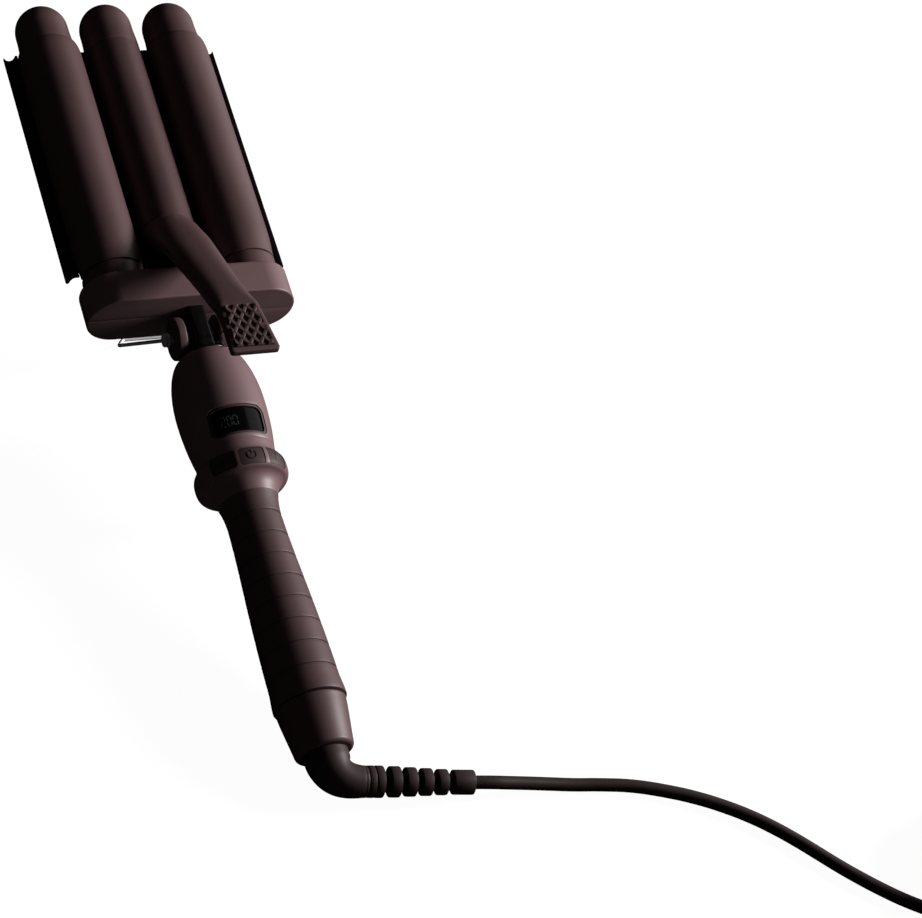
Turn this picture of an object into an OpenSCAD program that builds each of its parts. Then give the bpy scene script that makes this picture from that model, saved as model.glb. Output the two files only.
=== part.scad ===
// Three-barrel hair waver with a thumb-lever clip, a display handle, a wire stand and a swivel mains lead.
// It lies on its back, as it is put down in use: on the foot of its wire stand and the rim of its end cap.
// The pieces are drawn in the tool's own frame: X across, Y along the handle towards the tips, Z to the
// front, with the clip's hinge pin at the origin. on_table() then tips them up on the stand.

/* [Barrels] */
// Outside diameter of each heated tube
barrel_d = 28; // [26:0.5:28.5]
// Wall of each heated tube
barrel_wall = 1; // [0.8:0.1:2]
// Distance between the axes of neighbouring tubes
barrel_pitch = 33.5; // [33:0.5:38]
// Height of the tubes' plane over the handle's axis
barrel_lift = 2; // [1:0.5:4]
// Length of an outer tube in front of the head block
barrel_reach = 149.4; // [120:1:190]
// Distance from the head block to the lower end of the middle tube
arm_start = 29.8; // [27.4:0.2:50]
// Diameter of the tip caps
cap_d = 26.9; // [24:0.1:27]
// Straight skirt of a tip cap, up to its dome
cap_skirt = 9.4; // [4:0.2:14]
// Length of a cap's plug inside its tube
cap_plug = 8; // [4:1:12]

/* [Clip wings] */
// Gap between a tube and the clip's black plate
plate_gap = 0.5; // [0.4:0.05:0.6]
// Thickness of the black plates
plate_t = 0.8; // [0.6:0.05:0.9]
// Thickness of the brown shells on the plates
wing_t = 1.2; // [0.9:0.05:1.3]
// Reach of the plate's outer rim from its tube's axis
rim_reach = 22; // [18:0.5:26]
// Drop of the rim under the tubes' plane
rim_drop = 5; // [3:0.5:7]
// Thickness of the rim
rim_t = 1.2; // [0.8:0.1:2]
// Setback of the wings from the centre of the tip caps
wing_setback = 12; // [10.5:0.5:20]
// Length of the taper at the lower end of a wing
tail_len = 16; // [8:1:24]
// Depth of the rounded shoulder at the upper end of a wing
shoulder_len = 5; // [3:0.5:8]

/* [Head block] */
// Width of the block that carries the outer tubes
block_w = 104; // [100:1:116]
// Thickness of the block
block_h = 32; // [32:0.5:36]
// Length of the block along the handle
block_len = 19; // [18:0.5:26]
// Wall of the block's shells
block_wall = 1.7; // [1.5:0.1:1.8]
// Edge rounding of the block
block_edge = 3; // [2:0.5:4]
// Wall of the heat collars round the outer tubes
collar_wall = 1; // [0.8:0.1:1.4]
// Height of the heat collars over the block
collar_stand = 5.2; // [3:0.2:8]

/* [Hinge and lever] */
// Distance from the hinge pin to the block
block_from_pin = 13.2; // [13:0.2:18]
// Diameter of the hinge pin
pin_d = 3.2; // [2.5:0.1:4]
// Width of the neck between the clip's cheeks
neck_w = 8.8; // [8:0.2:9]
// Gap on each side of the neck, for the spring
cheek_gap = 3.8; // [3.6:0.1:4.2]
// Thickness of a cheek of the clip
cheek_t = 3.5; // [2.5:0.1:4]
// Radius of the round hub at the foot of a cheek
hub_r = 11.5; // [10:0.1:11.6]
// Outward boss of the hub
hub_boss = 2.3; // [1:0.1:4]
// Slope of the clip's arm
arm_slope = 27.5; // [24:0.5:30]
// Thickness of the arm
arm_t = 9; // [7:0.5:10]
// Half width of the arm at the thumb pad
arm_half = 9.5; // [9:0.5:11]
// Length of the thumb pad
pad_len = 30; // [24:1:36]
// Half width of the thumb pad at its end
pad_half = 11.5; // [10:0.5:14]
// Slope of the thumb pad
pad_slope = 8; // [4:0.5:12]
// Thickness of the pad's plate
pad_t = 4.2; // [3:0.2:6]
// Thickness of the soft insert with its ribs
insert_t = 1.6; // [1:0.1:2.2]
// Spacing of the ribs on the insert
rib_pitch = 5.6; // [4:0.1:8]
// Wire of the clip's spring
spring_wire = 0.8; // [0.6:0.05:0.9]

/* [Wire stand] */
// Wire of the stand
stand_wire = 1.9; // [1.4:0.1:2.4]
// Reach of the stand's foot behind the hinge pin
stand_drop = 60.5; // [50:0.5:66]
// Reach of the stand's foot towards the tips
stand_lean = 38.5; // [36:0.5:50]
// Half width of the stand at its foot
stand_half = 18; // [16:0.5:24]

/* [Handle] */
// Distance from the hinge pin to the top of the display housing
bulb_from_pin = 13.9; // [13.7:0.1:16]
// Length of the display housing
bulb_len = 55; // [50:1:64]
// Largest radius of the display housing
bulb_r = 21.4; // [20:0.2:23]
// Wall of the display housing
bulb_wall = 2.4; // [1.8:0.1:3]
// Length of the button collar
ring_len = 25; // [22:0.5:27]
// Largest radius of the button collar
ring_r = 22.2; // [21:0.2:24]
// Length of the grip
grip_len = 94.8; // [80:0.2:120]
// Smallest radius of the grip, just under the collar
grip_neck_r = 12.9; // [12.5:0.1:14]
// Radius of the grip at its lower end
grip_r = 16.3; // [15.5:0.1:18]
// Number of grooves round the grip
grooves = 8; // [4:1:12]
// Depth of a groove
groove_depth = 0.6; // [0.3:0.1:0.9]
// Length of the flared ring under the grip
flare_len = 11; // [6:0.5:14]
// Length of the end cap
end_len = 23.3; // [20:0.1:30]
// Radius of the end cap's open end
end_r = 13.6; // [13:0.1:15]
// Outside radius of the inner tube that carries the grip
core_r = 11; // [10.4:0.1:11.2]
// Wall of the inner tube
core_wall = 1.8; // [1.2:0.1:2.4]

/* [Display and buttons] */
// Width of the display window
window_w = 24; // [18:0.5:26]
// Height of the display window
window_h = 15.6; // [12:0.2:17]
// Distance from the collar up to the window
window_up = 2; // [1.8:0.1:4]
// Width of a button
button_w = 12.2; // [9:0.2:13]
// Height of a button
button_h = 8.6; // [6:0.2:9]
// Angle between neighbouring buttons
button_angle = 38; // [37:0.5:44]
// Travel of a button
button_travel = 0.8; // [0.5:0.1:1]
// Running gap round a button
button_gap = 0.2; // [0.15:0.05:0.3]

/* [Mains lead] */
// Diameter of the lead
cord_d = 6.2; // [6:0.1:6.8]
// Radius of the elbow where it leaves the handle
elbow_r = 10.2; // [9:0.1:11]
// Radius of the strain relief's ribs
relief_r = 6.6; // [5.6:0.1:7.2]
// Radius of the coil's innermost turn
coil_in = 27; // [26:0.5:30]

/* [Hidden] */

// Colours
brown = [0.29, 0.22, 0.22];
black = [0.05, 0.05, 0.055];
steel = [0.72, 0.72, 0.74];
brass = [0.78, 0.62, 0.3];
board_green = [0.1, 0.32, 0.18];
cord_brown = [0.2, 0.14, 0.14];

// Clearances
snug = 0.05;
seat = 0.2;
run_gap = 0.06;
big = 400;
fine = 96;

// Stations along the handle, from the hinge pin
block_y = block_from_pin;
block_top = block_y + block_len;
barrel_top = block_top + barrel_reach;
cap_y = barrel_top + cap_skirt;
wing_top = cap_y - wing_setback;
wing_foot = block_top + collar_stand + 0.6;
bulb_top = -bulb_from_pin;
ring_top = bulb_top - bulb_len;
grip_top = ring_top - ring_len;
flare_top = grip_top - grip_len;
end_top = flare_top - flare_len;
end_y = end_top - end_len;

// Radii derived from the tube
barrel_r = barrel_d / 2;
bore_r = barrel_r - barrel_wall;
plate_in = barrel_r + plate_gap;
plate_out = plate_in + plate_t;
wing_in = plate_out + snug;
wing_out = wing_in + wing_t;
trough_in = barrel_r + plate_gap + 0.3;
trough_out = trough_in + plate_t;
collar_out = barrel_r + snug + collar_wall;
web_t = 0.9;
web_rise = 2.2;

// Arm and pad, seen from the side: the arm's top line starts over the middle tube's lower end
arm_y = block_top + arm_start;
arm_z = barrel_lift + barrel_r;
bend_y = -22;
bend_z = arm_z + (arm_y - bend_y) * tan(arm_slope);
pad_y = bend_y - pad_len * cos(pad_slope);
pad_z = bend_z + pad_len * sin(pad_slope);
cheek_in = neck_w / 2 + cheek_gap;
cheek_out = cheek_in + cheek_t;
hub_out = cheek_out + hub_boss;
eye_gap = 0.25;
eye_x = hub_out + eye_gap + stand_wire / 2;
pin_end = eye_x + stand_wire / 2 + eye_gap;
pin_head_t = 1.2;
pin_head_r = 3.4;

// Rest on the table: the stand's foot and the end cap's rim touch the same plane
foot_y = stand_lean + 4;
foot_z = -stand_drop;
rim_round = 2;
rim_y = end_y + rim_round;
rim_z = -(end_r - rim_round);
rest_run = norm([foot_y - rim_y, foot_z - rim_z]);
pitch = atan2(rim_z - foot_z, foot_y - rim_y) + asin((stand_wire / 2 - rim_round) / rest_run);
rest_z = stand_wire / 2 - (foot_y * sin(pitch) + foot_z * cos(pitch));
tip_y = cap_y * cos(pitch) - barrel_lift * sin(pitch) + cap_d / 2;
tail_y = (end_y + rim_round) * cos(pitch) - (end_r - rim_round) * sin(pitch) - rim_round;
mid_y = (tip_y + tail_y) / 2;

// A point of the tool's frame, on the table
function on_table_point(p) = [p[0], p[1] * cos(pitch) - p[2] * sin(pitch) - mid_y,
                              p[1] * sin(pitch) + p[2] * cos(pitch) + rest_z];
module on_table() translate([0, -mid_y, rest_z]) rotate([pitch, 0, 0]) children();

// ---- Small helpers ----
function bezier(a, b, c, d, t) = a * pow(1 - t, 3) + 3 * b * t * pow(1 - t, 2) + 3 * c * t * t * (1 - t)
                                 + d * pow(t, 3);
function bezier_run(a, b, c, d, n) = [for (i = [0 : n]) bezier(a, b, c, d, i / n)];
function arc_run(centre, r, from, to, n) = [for (i = [0 : n]) let (a = from + (to - from) * i / n)
                                            centre + r * [cos(a), sin(a)]];
// A solid of revolution about Y, from an outline of [radius, y]
module turned(outline) rotate([-90, 0, 0]) rotate_extrude($fn = fine) polygon(outline);
// A cylinder along Y, from y0 to y1
module along_y(r, y0, y1) translate([0, y0, 0]) rotate([-90, 0, 0]) cylinder(r = r, h = y1 - y0, $fn = fine);
// A cylinder along X, from x0 to x1
module along_x(r, x0, x1) translate([x0, 0, 0]) rotate([0, 90, 0]) cylinder(r = r, h = x1 - x0, $fn = fine);
// A box given by its two corners
module block(low, high) translate(low) cube(high - low);
// A flat outline in Y and Z, drawn out along X from x0 to x1
module side_plate(x0, x1) translate([x0, 0, 0]) rotate([90, 0, 90]) linear_extrude(x1 - x0) children();
// A flat outline in X and Z, drawn out along Y from y0 to y1
module cross_plate(y0, y1) translate([0, y1, 0]) rotate([90, 0, 0]) linear_extrude(y1 - y0) children();
// A round rod between two points
module rod(p, q, r) translate(p) rotate([0, acos((q - p)[2] / norm(q - p)), atan2((q - p)[1], (q - p)[0])])
    cylinder(r = r, h = norm(q - p), $fn = 32);
module at_barrel(side) translate([side * barrel_pitch, 0, barrel_lift]) children();
module tube_ring(r_out, r_in) difference() { circle(r_out, $fn = fine); circle(r_in, $fn = fine); }

// A tube of given radii swept along a path; up is a direction that the path never takes
function unit(v) = v / norm(v);
function tangent(path, i) = unit(path[min(i + 1, len(path) - 1)] - path[max(i - 1, 0)]);
function ring_at(path, i, r, sides, up) = let (t = tangent(path, i), s = unit(cross(t, up)), u = cross(s, t))
    [for (k = [0 : sides - 1]) path[i] + r * (cos(360 * k / sides) * s + sin(360 * k / sides) * u)];
module sweep(path, radii, sides, up = [0, 0, 1]) {
    n = len(path);
    points = [for (i = [0 : n - 1]) each ring_at(path, i, radii[i], sides, up)];
    walls = [for (i = [0 : n - 2], k = [0 : sides - 1]) let (a = i * sides + k, b = i * sides + (k + 1) % sides)
             each [[a, b, b + sides], [a, b + sides, a + sides]]];
    first = [for (k = [1 : sides - 2]) [0, k + 1, k]];
    last = [for (k = [1 : sides - 2]) let (o = (n - 1) * sides) [o, o + k, o + k + 1]];
    polyhedron(points = points, faces = concat(walls, first, last));
}
module even_sweep(path, r, sides, up = [0, 0, 1]) sweep(path, [for (p = path) r], sides, up);
// A smooth curve through hand-chosen points
function between(p0, p1, p2, p3, t) = 0.5 * (2 * p1 + (p2 - p0) * t + (2 * p0 - 5 * p1 + 4 * p2 - p3) * t * t
                                             + (3 * p1 - p0 - 3 * p2 + p3) * t * t * t);
function smooth(points, n) = let (m = len(points)) concat(
    [for (i = [0 : m - 2], j = [0 : n - 1]) between(points[max(i - 1, 0)], points[i], points[i + 1],
                                                    points[min(i + 2, m - 1)], j / n)], [points[m - 1]]);

// ---- Heated tubes and caps ----
module heated_tube(y0, y1) cross_plate(y0, y1) tube_ring(barrel_r, bore_r);
module tip_cap_shape() {
    dome = arc_run([0, cap_y], cap_d / 2, 0, 90, 16);
    plug_r = bore_r - snug;
    inside = arc_run([0, cap_y - 1], cap_d / 2 - 3, 90, 0, 12);
    turned(concat([[cap_d / 2 - 3, barrel_top - cap_plug], [plug_r - 0.6, barrel_top - cap_plug],
                   [plug_r, barrel_top - cap_plug + 1], [plug_r, barrel_top], [cap_d / 2, barrel_top]], dome,
                  inside));
}
// A heater bar held between two springy caps that press on the tube's bore
bar_w = 15;
bar_t = 2.4;
fuse_r = 1.7;
heater_up = 12;
heater_len = 80;
heater_foot = block_top + heater_up;
module heater_shape(y0, y1) {
    shoe_r = bore_r - snug;
    shoe_t = 1;
    cross_plate(y0, y1) {
        intersection() {
            tube_ring(shoe_r, shoe_r - shoe_t);
            union() {
                translate([-8, 6]) square([16, 10]);
                translate([-8, -16]) square([16, 10]);
            }
        }
        translate([-bar_w / 2, -bar_t / 2]) square([bar_w, bar_t]);
        for (side = [-1, 1]) translate([-0.6, side > 0 ? bar_t / 2 - 0.1 : -shoe_r + 0.6])
            square([1.2, shoe_r - bar_t / 2 - 0.5]);
    }
}

module left_barrel() color(steel) at_barrel(-1) heated_tube(block_y + block_wall + seat, barrel_top);
module right_barrel() color(steel) at_barrel(1) heated_tube(block_y + block_wall + seat, barrel_top);
module middle_barrel() color(steel) at_barrel(0) heated_tube(arm_y, barrel_top);
module left_tip_cap() color(brown) at_barrel(-1) tip_cap_shape();
module right_tip_cap() color(brown) at_barrel(1) tip_cap_shape();
module middle_tip_cap() color(brown) at_barrel(0) tip_cap_shape();
module left_heater() color(steel) at_barrel(-1) heater_shape(heater_foot, heater_foot + heater_len);
module right_heater() color(steel) at_barrel(1) heater_shape(heater_foot, heater_foot + heater_len);
module middle_heater() color(steel) at_barrel(0) heater_shape(arm_y + heater_up + 2, arm_y + heater_up + heater_len - 8);

// ---- Heat collars ----
collar_foot = block_top - block_wall + 0.02;
module heat_collar(side) color(brown) at_barrel(side) {
    inner = barrel_r + snug;
    turned([[inner, collar_foot], [collar_out, collar_foot], [collar_out, block_top + collar_stand - 0.5],
            [collar_out - 0.5, block_top + collar_stand], [inner, block_top + collar_stand]]);
}
module left_heat_collar() heat_collar(-1);
module right_heat_collar() heat_collar(1);

// ---- Fixed black trough under the middle tube, with its brown back cover ----
plate_top = wing_top - 4;
trough_foot = block_top + seat;
module trough_plate() color(black) difference() {
    translate([0, 0, barrel_lift]) cross_plate(trough_foot, plate_top) {
        intersection() {
            tube_ring(trough_out, trough_in);
            translate([-trough_out, -trough_out]) square([2 * trough_out, trough_out]);
        }
        for (side = [-1, 1]) {
            reach = barrel_pitch - barrel_r - 0.05;
            start = trough_in + 0.2;
            translate([side > 0 ? start : -reach, -web_rise - web_t]) square([reach - start, web_t]);
        }
    }
    // The webs start above the heat collars
    for (side = [-1, 1]) scale([side, 1, 1]) translate([0, 0, barrel_lift - web_rise - web_t])
        block([trough_out + snug, trough_foot - 1, -1], [barrel_pitch, block_top + collar_stand + 0.3, web_t + 1]);
}
cover_in = trough_out + snug;
cover_out = cover_in + wing_t;
module trough_cover() color(brown) intersection() {
    translate([0, 0, barrel_lift]) turned(
        [[cover_in, trough_foot], [cover_out, trough_foot], [cover_out, plate_top - 3],
         [cover_out - 0.3, plate_top - 1.8], [cover_in, plate_top - 1]]);
    block([-big, -big, -big], [big, big, barrel_lift - web_rise - web_t - 0.1]);
}

// ---- Head block: two shells that meet on the tubes' plane and clamp the neck post ----
function rounded_side(h, y0, y1, e) = concat(
    arc_run([h - e, y0 + e], e, -90, 0, 6), arc_run([h - e, y1 - e], e, 0, 90, 6));
module pill(w, h, y0, y1, e) {
    half = h / 2;
    side = rounded_side(half, y0, y1, e);
    for (s = [-1, 1]) translate([s * (w / 2 - half), 0, 0]) turned(concat([[0, y0]], side, [[0, y1]]));
    side_plate(-(w / 2 - half), w / 2 - half) polygon(concat(
        [for (p = side) [p[1], p[0]]], [for (i = [len(side) - 1 : -1 : 0]) [side[i][1], -side[i][0]]]));
}
boss_x = 14.6;
boss_r = 2.6;
boss_y = block_y + block_len / 2;
screw_r = 1.1;
post_flange_w = 11.8;
module head_shell() difference() {
    translate([0, 0, barrel_lift]) union() {
        difference() {
            pill(block_w, block_h, block_y, block_top, block_edge);
            pill(block_w - 2 * block_wall, block_h - 2 * block_wall, block_y + block_wall,
                 block_top - block_wall, 1);
        }
        for (s = [-1, 1]) translate([s * boss_x, boss_y, -block_h / 2 + 1])
            cylinder(r = boss_r, h = block_h - 2, $fn = 32);
    }
    for (s = [-1, 1]) {
        at_barrel(s) along_y(collar_out + snug, block_top - block_wall, block_top + 1);
        at_barrel(s) along_y(barrel_r + snug, block_y + block_wall + seat / 2, block_top);
        translate([s * boss_x, boss_y, barrel_lift]) translate([0, 0, -block_h / 2 - 1])
            cylinder(r = screw_r + snug, h = block_h - 1, $fn = 32);
        translate([s * boss_x, boss_y, barrel_lift]) translate([0, 0, -block_h / 2 - 1])
            cylinder(r = 2.2, h = 3.5, $fn = 32);
    }
    block([-neck_w / 2 - seat, block_y - 1, -hub_r], [neck_w / 2 + seat, block_y + block_wall + 1, hub_r]);
}
module head_block_front() color(brown) intersection() {
    head_shell();
    block([-big, -big, barrel_lift + 0.02], [big, big, big]);
}
module head_block_back() color(brown) intersection() {
    head_shell();
    block([-big, -big, -big], [big, big, barrel_lift - 0.02]);
}
module block_screws() color(steel) for (s = [-1, 1])
    translate([s * boss_x, boss_y, barrel_lift - block_h / 2]) {
        translate([0, 0, 1]) cylinder(r = 2, h = 1.5, $fn = 32);
        translate([0, 0, 1]) cylinder(r = screw_r, h = block_h - 8, $fn = 32);
    }

// ---- Neck post, its ring and the hinge pin ----
post_r = 10.4;
post_foot = bulb_top - 18;
// The post's wide part ends under the ring, clear of the clip's hubs
post_top = bulb_top + 1.95;
wire_z = -6.2;
wire_r = 2.4;
module neck_post() color(black) difference() {
    union() {
        intersection() {
            along_y(post_r, post_top, block_y + block_wall + 1);
            block([-neck_w / 2, -big, -big], [neck_w / 2, big, big]);
        }
        block([-post_flange_w, block_y + block_wall + seat, -9], [post_flange_w, block_top - 6, 11]);
        along_y(post_r, post_foot, post_top);
        along_y(post_r + 3, bulb_top - 9, bulb_top - 6);
    }
    along_x(pin_d / 2 + 0.01, -big, big);
    translate([0, 0, wire_z]) along_y(wire_r, post_foot - 1, block_top);
    along_y(post_r - 2.4, post_foot - 1, bulb_top - 1);
}
module neck_ring() color(black) turned(concat(
    [[post_r + snug, bulb_top + seat]], arc_run([post_r + 1.4, bulb_top + 1.05], 0.85, -90, 90, 8),
    [[post_r + snug, bulb_top + 1.9]]));
module hinge_pin() color(steel) {
    along_x(pin_d / 2, -pin_end - 0.1, pin_end + 0.1);
    for (s = [-1, 1]) scale([s, 1, 1]) translate([pin_end, 0, 0]) rotate([0, 90, 0]) rotate_extrude($fn = fine)
        polygon(concat([[0, 0], [pin_head_r, 0]], arc_run([pin_head_r - 0.8, pin_head_t - 0.8], 0.8, 0, 90, 5),
                       [[0, pin_head_t]]));
}
// The thermal fuse lies on the left heater's bar
module thermal_fuse() color(steel) at_barrel(-1) translate([4.4, 0, bar_t / 2 + fuse_r + 0.02]) {
    along_y(fuse_r, heater_foot + 6, heater_foot + 16);
    along_y(0.6, heater_foot + 1, heater_foot + 21);
}
// The wires to the head run in the neck post's channel
module wire_loom() color(black) translate([0, 0, wire_z]) along_y(wire_r - 0.1, post_foot + 3, block_top - 6.5);

// ---- Clip: plates and wings ----
plate_foot = wing_foot + 9;
// The wall and rim outside the tube, up to a height over the tubes' plane
module rim_section(top) polygon([[plate_in, -rim_drop], [rim_reach, -rim_drop], [rim_reach, -rim_drop + rim_t],
                                 [plate_out, -rim_drop + rim_t], [plate_out, top], [plate_in, top]]);
module clip_plate(side) color(black) at_barrel(side) scale([side, 1, 1]) {
    web_end = barrel_pitch - barrel_r - 0.05;
    cross_plate(plate_foot, plate_top) {
        intersection() {
            tube_ring(plate_out, plate_in);
            union() {
                translate([-plate_out - 1, web_rise]) square([plate_out + 2, plate_out]);
                square([plate_out + 1, plate_out + 1]);
            }
        }
        translate([-web_end, web_rise]) square([web_end - plate_in + 0.1, web_t]);
        rim_section(0);
    }
    cross_plate(wing_foot + 1, plate_foot) rim_section(-2.1);
}
module left_clip_plate() clip_plate(-1);
module right_clip_plate() clip_plate(1);
module wing(side) color(brown) at_barrel(side) scale([side, 1, 1]) difference() {
    outer_line = concat(
        [[plate_in + 0.1, wing_foot], [barrel_r + 1, wing_foot]],
        bezier_run([barrel_r + 1.1, wing_foot + 0.3], [barrel_r + 1.4, wing_foot + tail_len * 0.4],
                   [wing_out, wing_foot + tail_len * 0.6], [wing_out, wing_foot + tail_len], 6),
        bezier_run([wing_out, wing_top - shoulder_len], [wing_out, wing_top - shoulder_len * 0.45],
                   [wing_out - 0.8, wing_top], [plate_in + 0.1, wing_top], 8));
    intersection() {
        turned(outer_line);
        union() {
            block([0, wing_foot - 1, -2], [wing_out + 2, wing_top + 1, wing_out + 1]);
            block([-wing_out - 1, wing_foot - 1, web_rise + web_t + 0.1], [1, wing_top + 1, wing_out + 1]);
        }
    }
    along_y(wing_in, plate_foot - seat, plate_top + seat);
}
module left_wing() wing(-1);
module right_wing() wing(1);

// ---- Clip: arm, thumb pad and spring ----
// A rounded slice of the arm at y: its top at z, its half width and its height
module arm_slice(y, z, half, height, e) for (x = [-half + e, half - e], dz = [-e, -height + e])
    translate([x, y, z + dz]) rotate([-90, 0, 0]) cylinder(r = e, h = 0.4, $fn = 32);
arm_drop = arm_t / cos(arm_slope);
knee_y = arm_y - 20;
knee_z = arm_z + 20 * tan(arm_slope);
module clip_arm() color(brown) difference() {
    union() {
        at_barrel(0) along_y(bore_r - snug, arm_y - 1, arm_y + 10);
        hull() {
            at_barrel(0) along_y(barrel_r, arm_y - 1.5, arm_y - 0.05);
            arm_slice(knee_y, knee_z, 12.4, arm_drop + 3, 3.5);
        }
        hull() {
            arm_slice(knee_y, knee_z, 12.4, arm_drop + 3, 3.5);
            arm_slice(bend_y, bend_z, arm_half, arm_drop, 2.6);
        }
        hull() {
            arm_slice(bend_y, bend_z, arm_half, pad_t + 3, 2);
            arm_slice(pad_y, pad_z, pad_half, pad_t, 1.8);
        }
        for (s = [-1, 1]) scale([s, 1, 1]) {
            side_plate(cheek_in, cheek_out) cheek_outline();
            along_x(hub_r, cheek_in, hub_out);
        }
    }
    along_x(pin_d / 2 + run_gap, -big, big);
    translate([0, bend_y - 1.6, bend_z - insert_t / 2]) rotate([-pad_slope, 0, 0]) pad_outline(0.1, 3);
}
// Its rear edge stays clear of the housing when the clip is open
cheek_top = bend_z - arm_drop - 4;
module cheek_outline() polygon([[0, -2], [-8.6, 6.5], [-7.4, 13.8], [-9.6, 17], [-11.8, 27], [-11.8, cheek_top],
                                [2, cheek_top - 3.5], [13, cheek_top - 12], [hub_r - 1, 4]]);
// The insert's outline, grown by a margin, from its face down to a depth
module pad_outline(margin, height) {
    near = arm_half - 1.9 + margin;
    far = pad_half - 1.9 + margin;
    reach = pad_len - 3.6;
    rotate([0, 0, 0]) linear_extrude(height) polygon([[-near, margin], [near, margin], [far, -reach - margin],
                                                      [-far, -reach - margin]]);
}
module thumb_pad() color(brown) translate([0, bend_y - 1.6, bend_z - insert_t / 2]) rotate([-pad_slope, 0, 0]) {
    translate([0, 0, 0.05]) pad_outline(0, insert_t / 2);
    intersection() {
        pad_outline(0, insert_t + 0.4);
        union() for (lean = [-38, 38], i = [-6 : 6]) translate([i * rib_pitch, -pad_len / 2 + 1.8, 0])
            rotate([0, 0, lean]) block([-0.55, -pad_len, 0.2], [0.55, pad_len, insert_t]);
    }
}
// One spring of two turns round the pin: a leg on the housing's shoulder and a leg bent along the arm
spring_r = pin_d / 2 + spring_wire / 2 + 0.7;
spring_x = neck_w / 2 + 0.4 + spring_wire / 2;
spring_rise = spring_wire + 0.45;
function ring_point(x, r, a) = [x, r * cos(a), r * sin(a)];
module lever_spring() color(steel) {
    turns = 2;
    foot_a = 125;
    arm_a = 106;
    total = turns * 360 + foot_a - arm_a;
    steps = 50;
    end_x = spring_x + spring_rise * total / 360;
    coil = [for (i = [0 : steps]) ring_point(spring_x + (end_x - spring_x) * i / steps, spring_r,
                                             foot_a + 90 - total * i / steps)];
    leg_end = coil[0] + 19 * [0, cos(foot_a), sin(foot_a)];
    foot = concat([leg_end + [0, -3.9, 2.35], leg_end + [0, -2.2, 1.1]],
                  [for (d = [19 : -4 : 3]) coil[0] + d * [0, cos(foot_a), sin(foot_a)]]);
    up_leg = [for (d = [4, 14, 24, 32]) coil[steps] + d * [0, cos(arm_a), sin(arm_a)]];
    last = up_leg[3];
    tip = [for (d = [3, 9]) last + d * [0, -cos(arm_slope), sin(arm_slope)]];
    even_sweep(concat(foot, coil, up_leg, tip), spring_wire / 2, 6, [1, 0, 0]);
}

// ---- Wire stand ----
module wire_stand() color(steel) {
    w = stand_wire / 2;
    eye_r = pin_d / 2 + run_gap + w + 0.06;
    lean = unit([0, stand_lean, -stand_drop]);
    for (s = [-1, 1]) {
        start = [s * eye_x, 0, 0] + eye_r * lean;
        heel = [s * stand_half, stand_lean, -stand_drop + 1.2];
        toe = [s * (stand_half - 3), foot_y, foot_z];
        along_x_ring(s * eye_x, eye_r, w + 0.05);
        rod(start, heel, w);
        translate(heel) sphere(w + 0.01, $fn = 32);
        rod(heel, toe, w);
        translate(toe) sphere(w + 0.01, $fn = 32);
    }
    along_x_bar(foot_y, foot_z, w, stand_half - 3);
}
// A wire ring round the X axis, and a bar along X
module along_x_ring(x, r, w) translate([x, 0, 0]) rotate([0, 90, 0]) rotate_extrude($fn = fine)
    translate([r, 0]) circle(w, $fn = 24);
module along_x_bar(y, z, w, half) translate([-half, y, z]) rotate([0, 90, 0])
    cylinder(r = w, h = 2 * half, $fn = 32);

// ---- Display housing ----
bulb_mid = bulb_top - bulb_len * 0.53;
bulb_rim = 13.2;
bulb_foot_r = ring_r - 3;
function bulb_line(inset) = concat(
    bezier_run([bulb_rim - inset, bulb_top], [bulb_rim + 4.2 - inset, bulb_top - 1.5],
               [bulb_r - inset, bulb_top - 14], [bulb_r - inset, bulb_mid], 12),
    bezier_run([bulb_r - inset, bulb_mid - 0.5], [bulb_r - inset, bulb_mid - 11],
               [bulb_foot_r + 1 - inset, ring_top + 5], [bulb_foot_r - inset, ring_top], 8));
module bulb_solid() turned(concat([[0, bulb_top]], bulb_line(0), [[0, ring_top]]));
module bulb_hollow() intersection() {
    turned(concat([[0, bulb_top]], bulb_line(bulb_wall), [[0, ring_top]]));
    block([-big, ring_top - 1, -big], [big, bulb_top - bulb_wall, big]);
}
window_y = ring_top + window_up + window_h / 2;
module window_column(margin, corner) translate([0, window_y, 8]) linear_extrude(20)
    rounded_rect(window_w + 2 * margin, window_h + 2 * margin, corner + margin);
module rounded_rect(w, h, r) {
    square([w - 2 * r, h], center = true);
    square([w, h - 2 * r], center = true);
    for (sx = [-1, 1], sy = [-1, 1]) translate([sx * (w / 2 - r), sy * (h / 2 - r)]) circle(r, $fn = 32);
}
screw_down = 26;
housing_screw_y = [bulb_top - screw_down, bulb_top - screw_down - 14];
housing_boss_x = 14;
housing_boss_r = 2.6;
module housing_shell() difference() {
    union() {
        difference() {
            bulb_solid();
            bulb_hollow();
        }
        intersection() {
            bulb_solid();
            for (s = [-1, 1]) translate([s * housing_boss_x, housing_screw_y[0], -bulb_r])
                cylinder(r = housing_boss_r, h = bulb_r + 10, $fn = 32);
        }
    }
    along_y(post_r + snug, bulb_top - bulb_wall - 1, bulb_top + 1);
    window_column(snug, 3.5);
    for (s = [-1, 1]) translate([s * housing_boss_x, housing_screw_y[0], -bulb_r - 1]) {
        cylinder(r = screw_r + snug, h = bulb_r + 8, $fn = 32);
        cylinder(r = 2.2, h = 8.5, $fn = 32);
    }
}
module housing_front() color(brown) intersection() {
    housing_shell();
    block([-big, -big, 0.02], [big, big, big]);
}
module housing_back() color(brown) intersection() {
    housing_shell();
    block([-big, -big, -big], [big, big, -0.02]);
}
module housing_screws() color(steel) for (s = [-1, 1])
    translate([s * housing_boss_x, housing_screw_y[0], -bulb_r + 7.6]) {
        translate([0, 0, -1.4]) cylinder(r = 2, h = 1.3, $fn = 32);
        translate([0, 0, -0.3]) cylinder(r = screw_r, h = 19, $fn = 32);
    }

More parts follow.
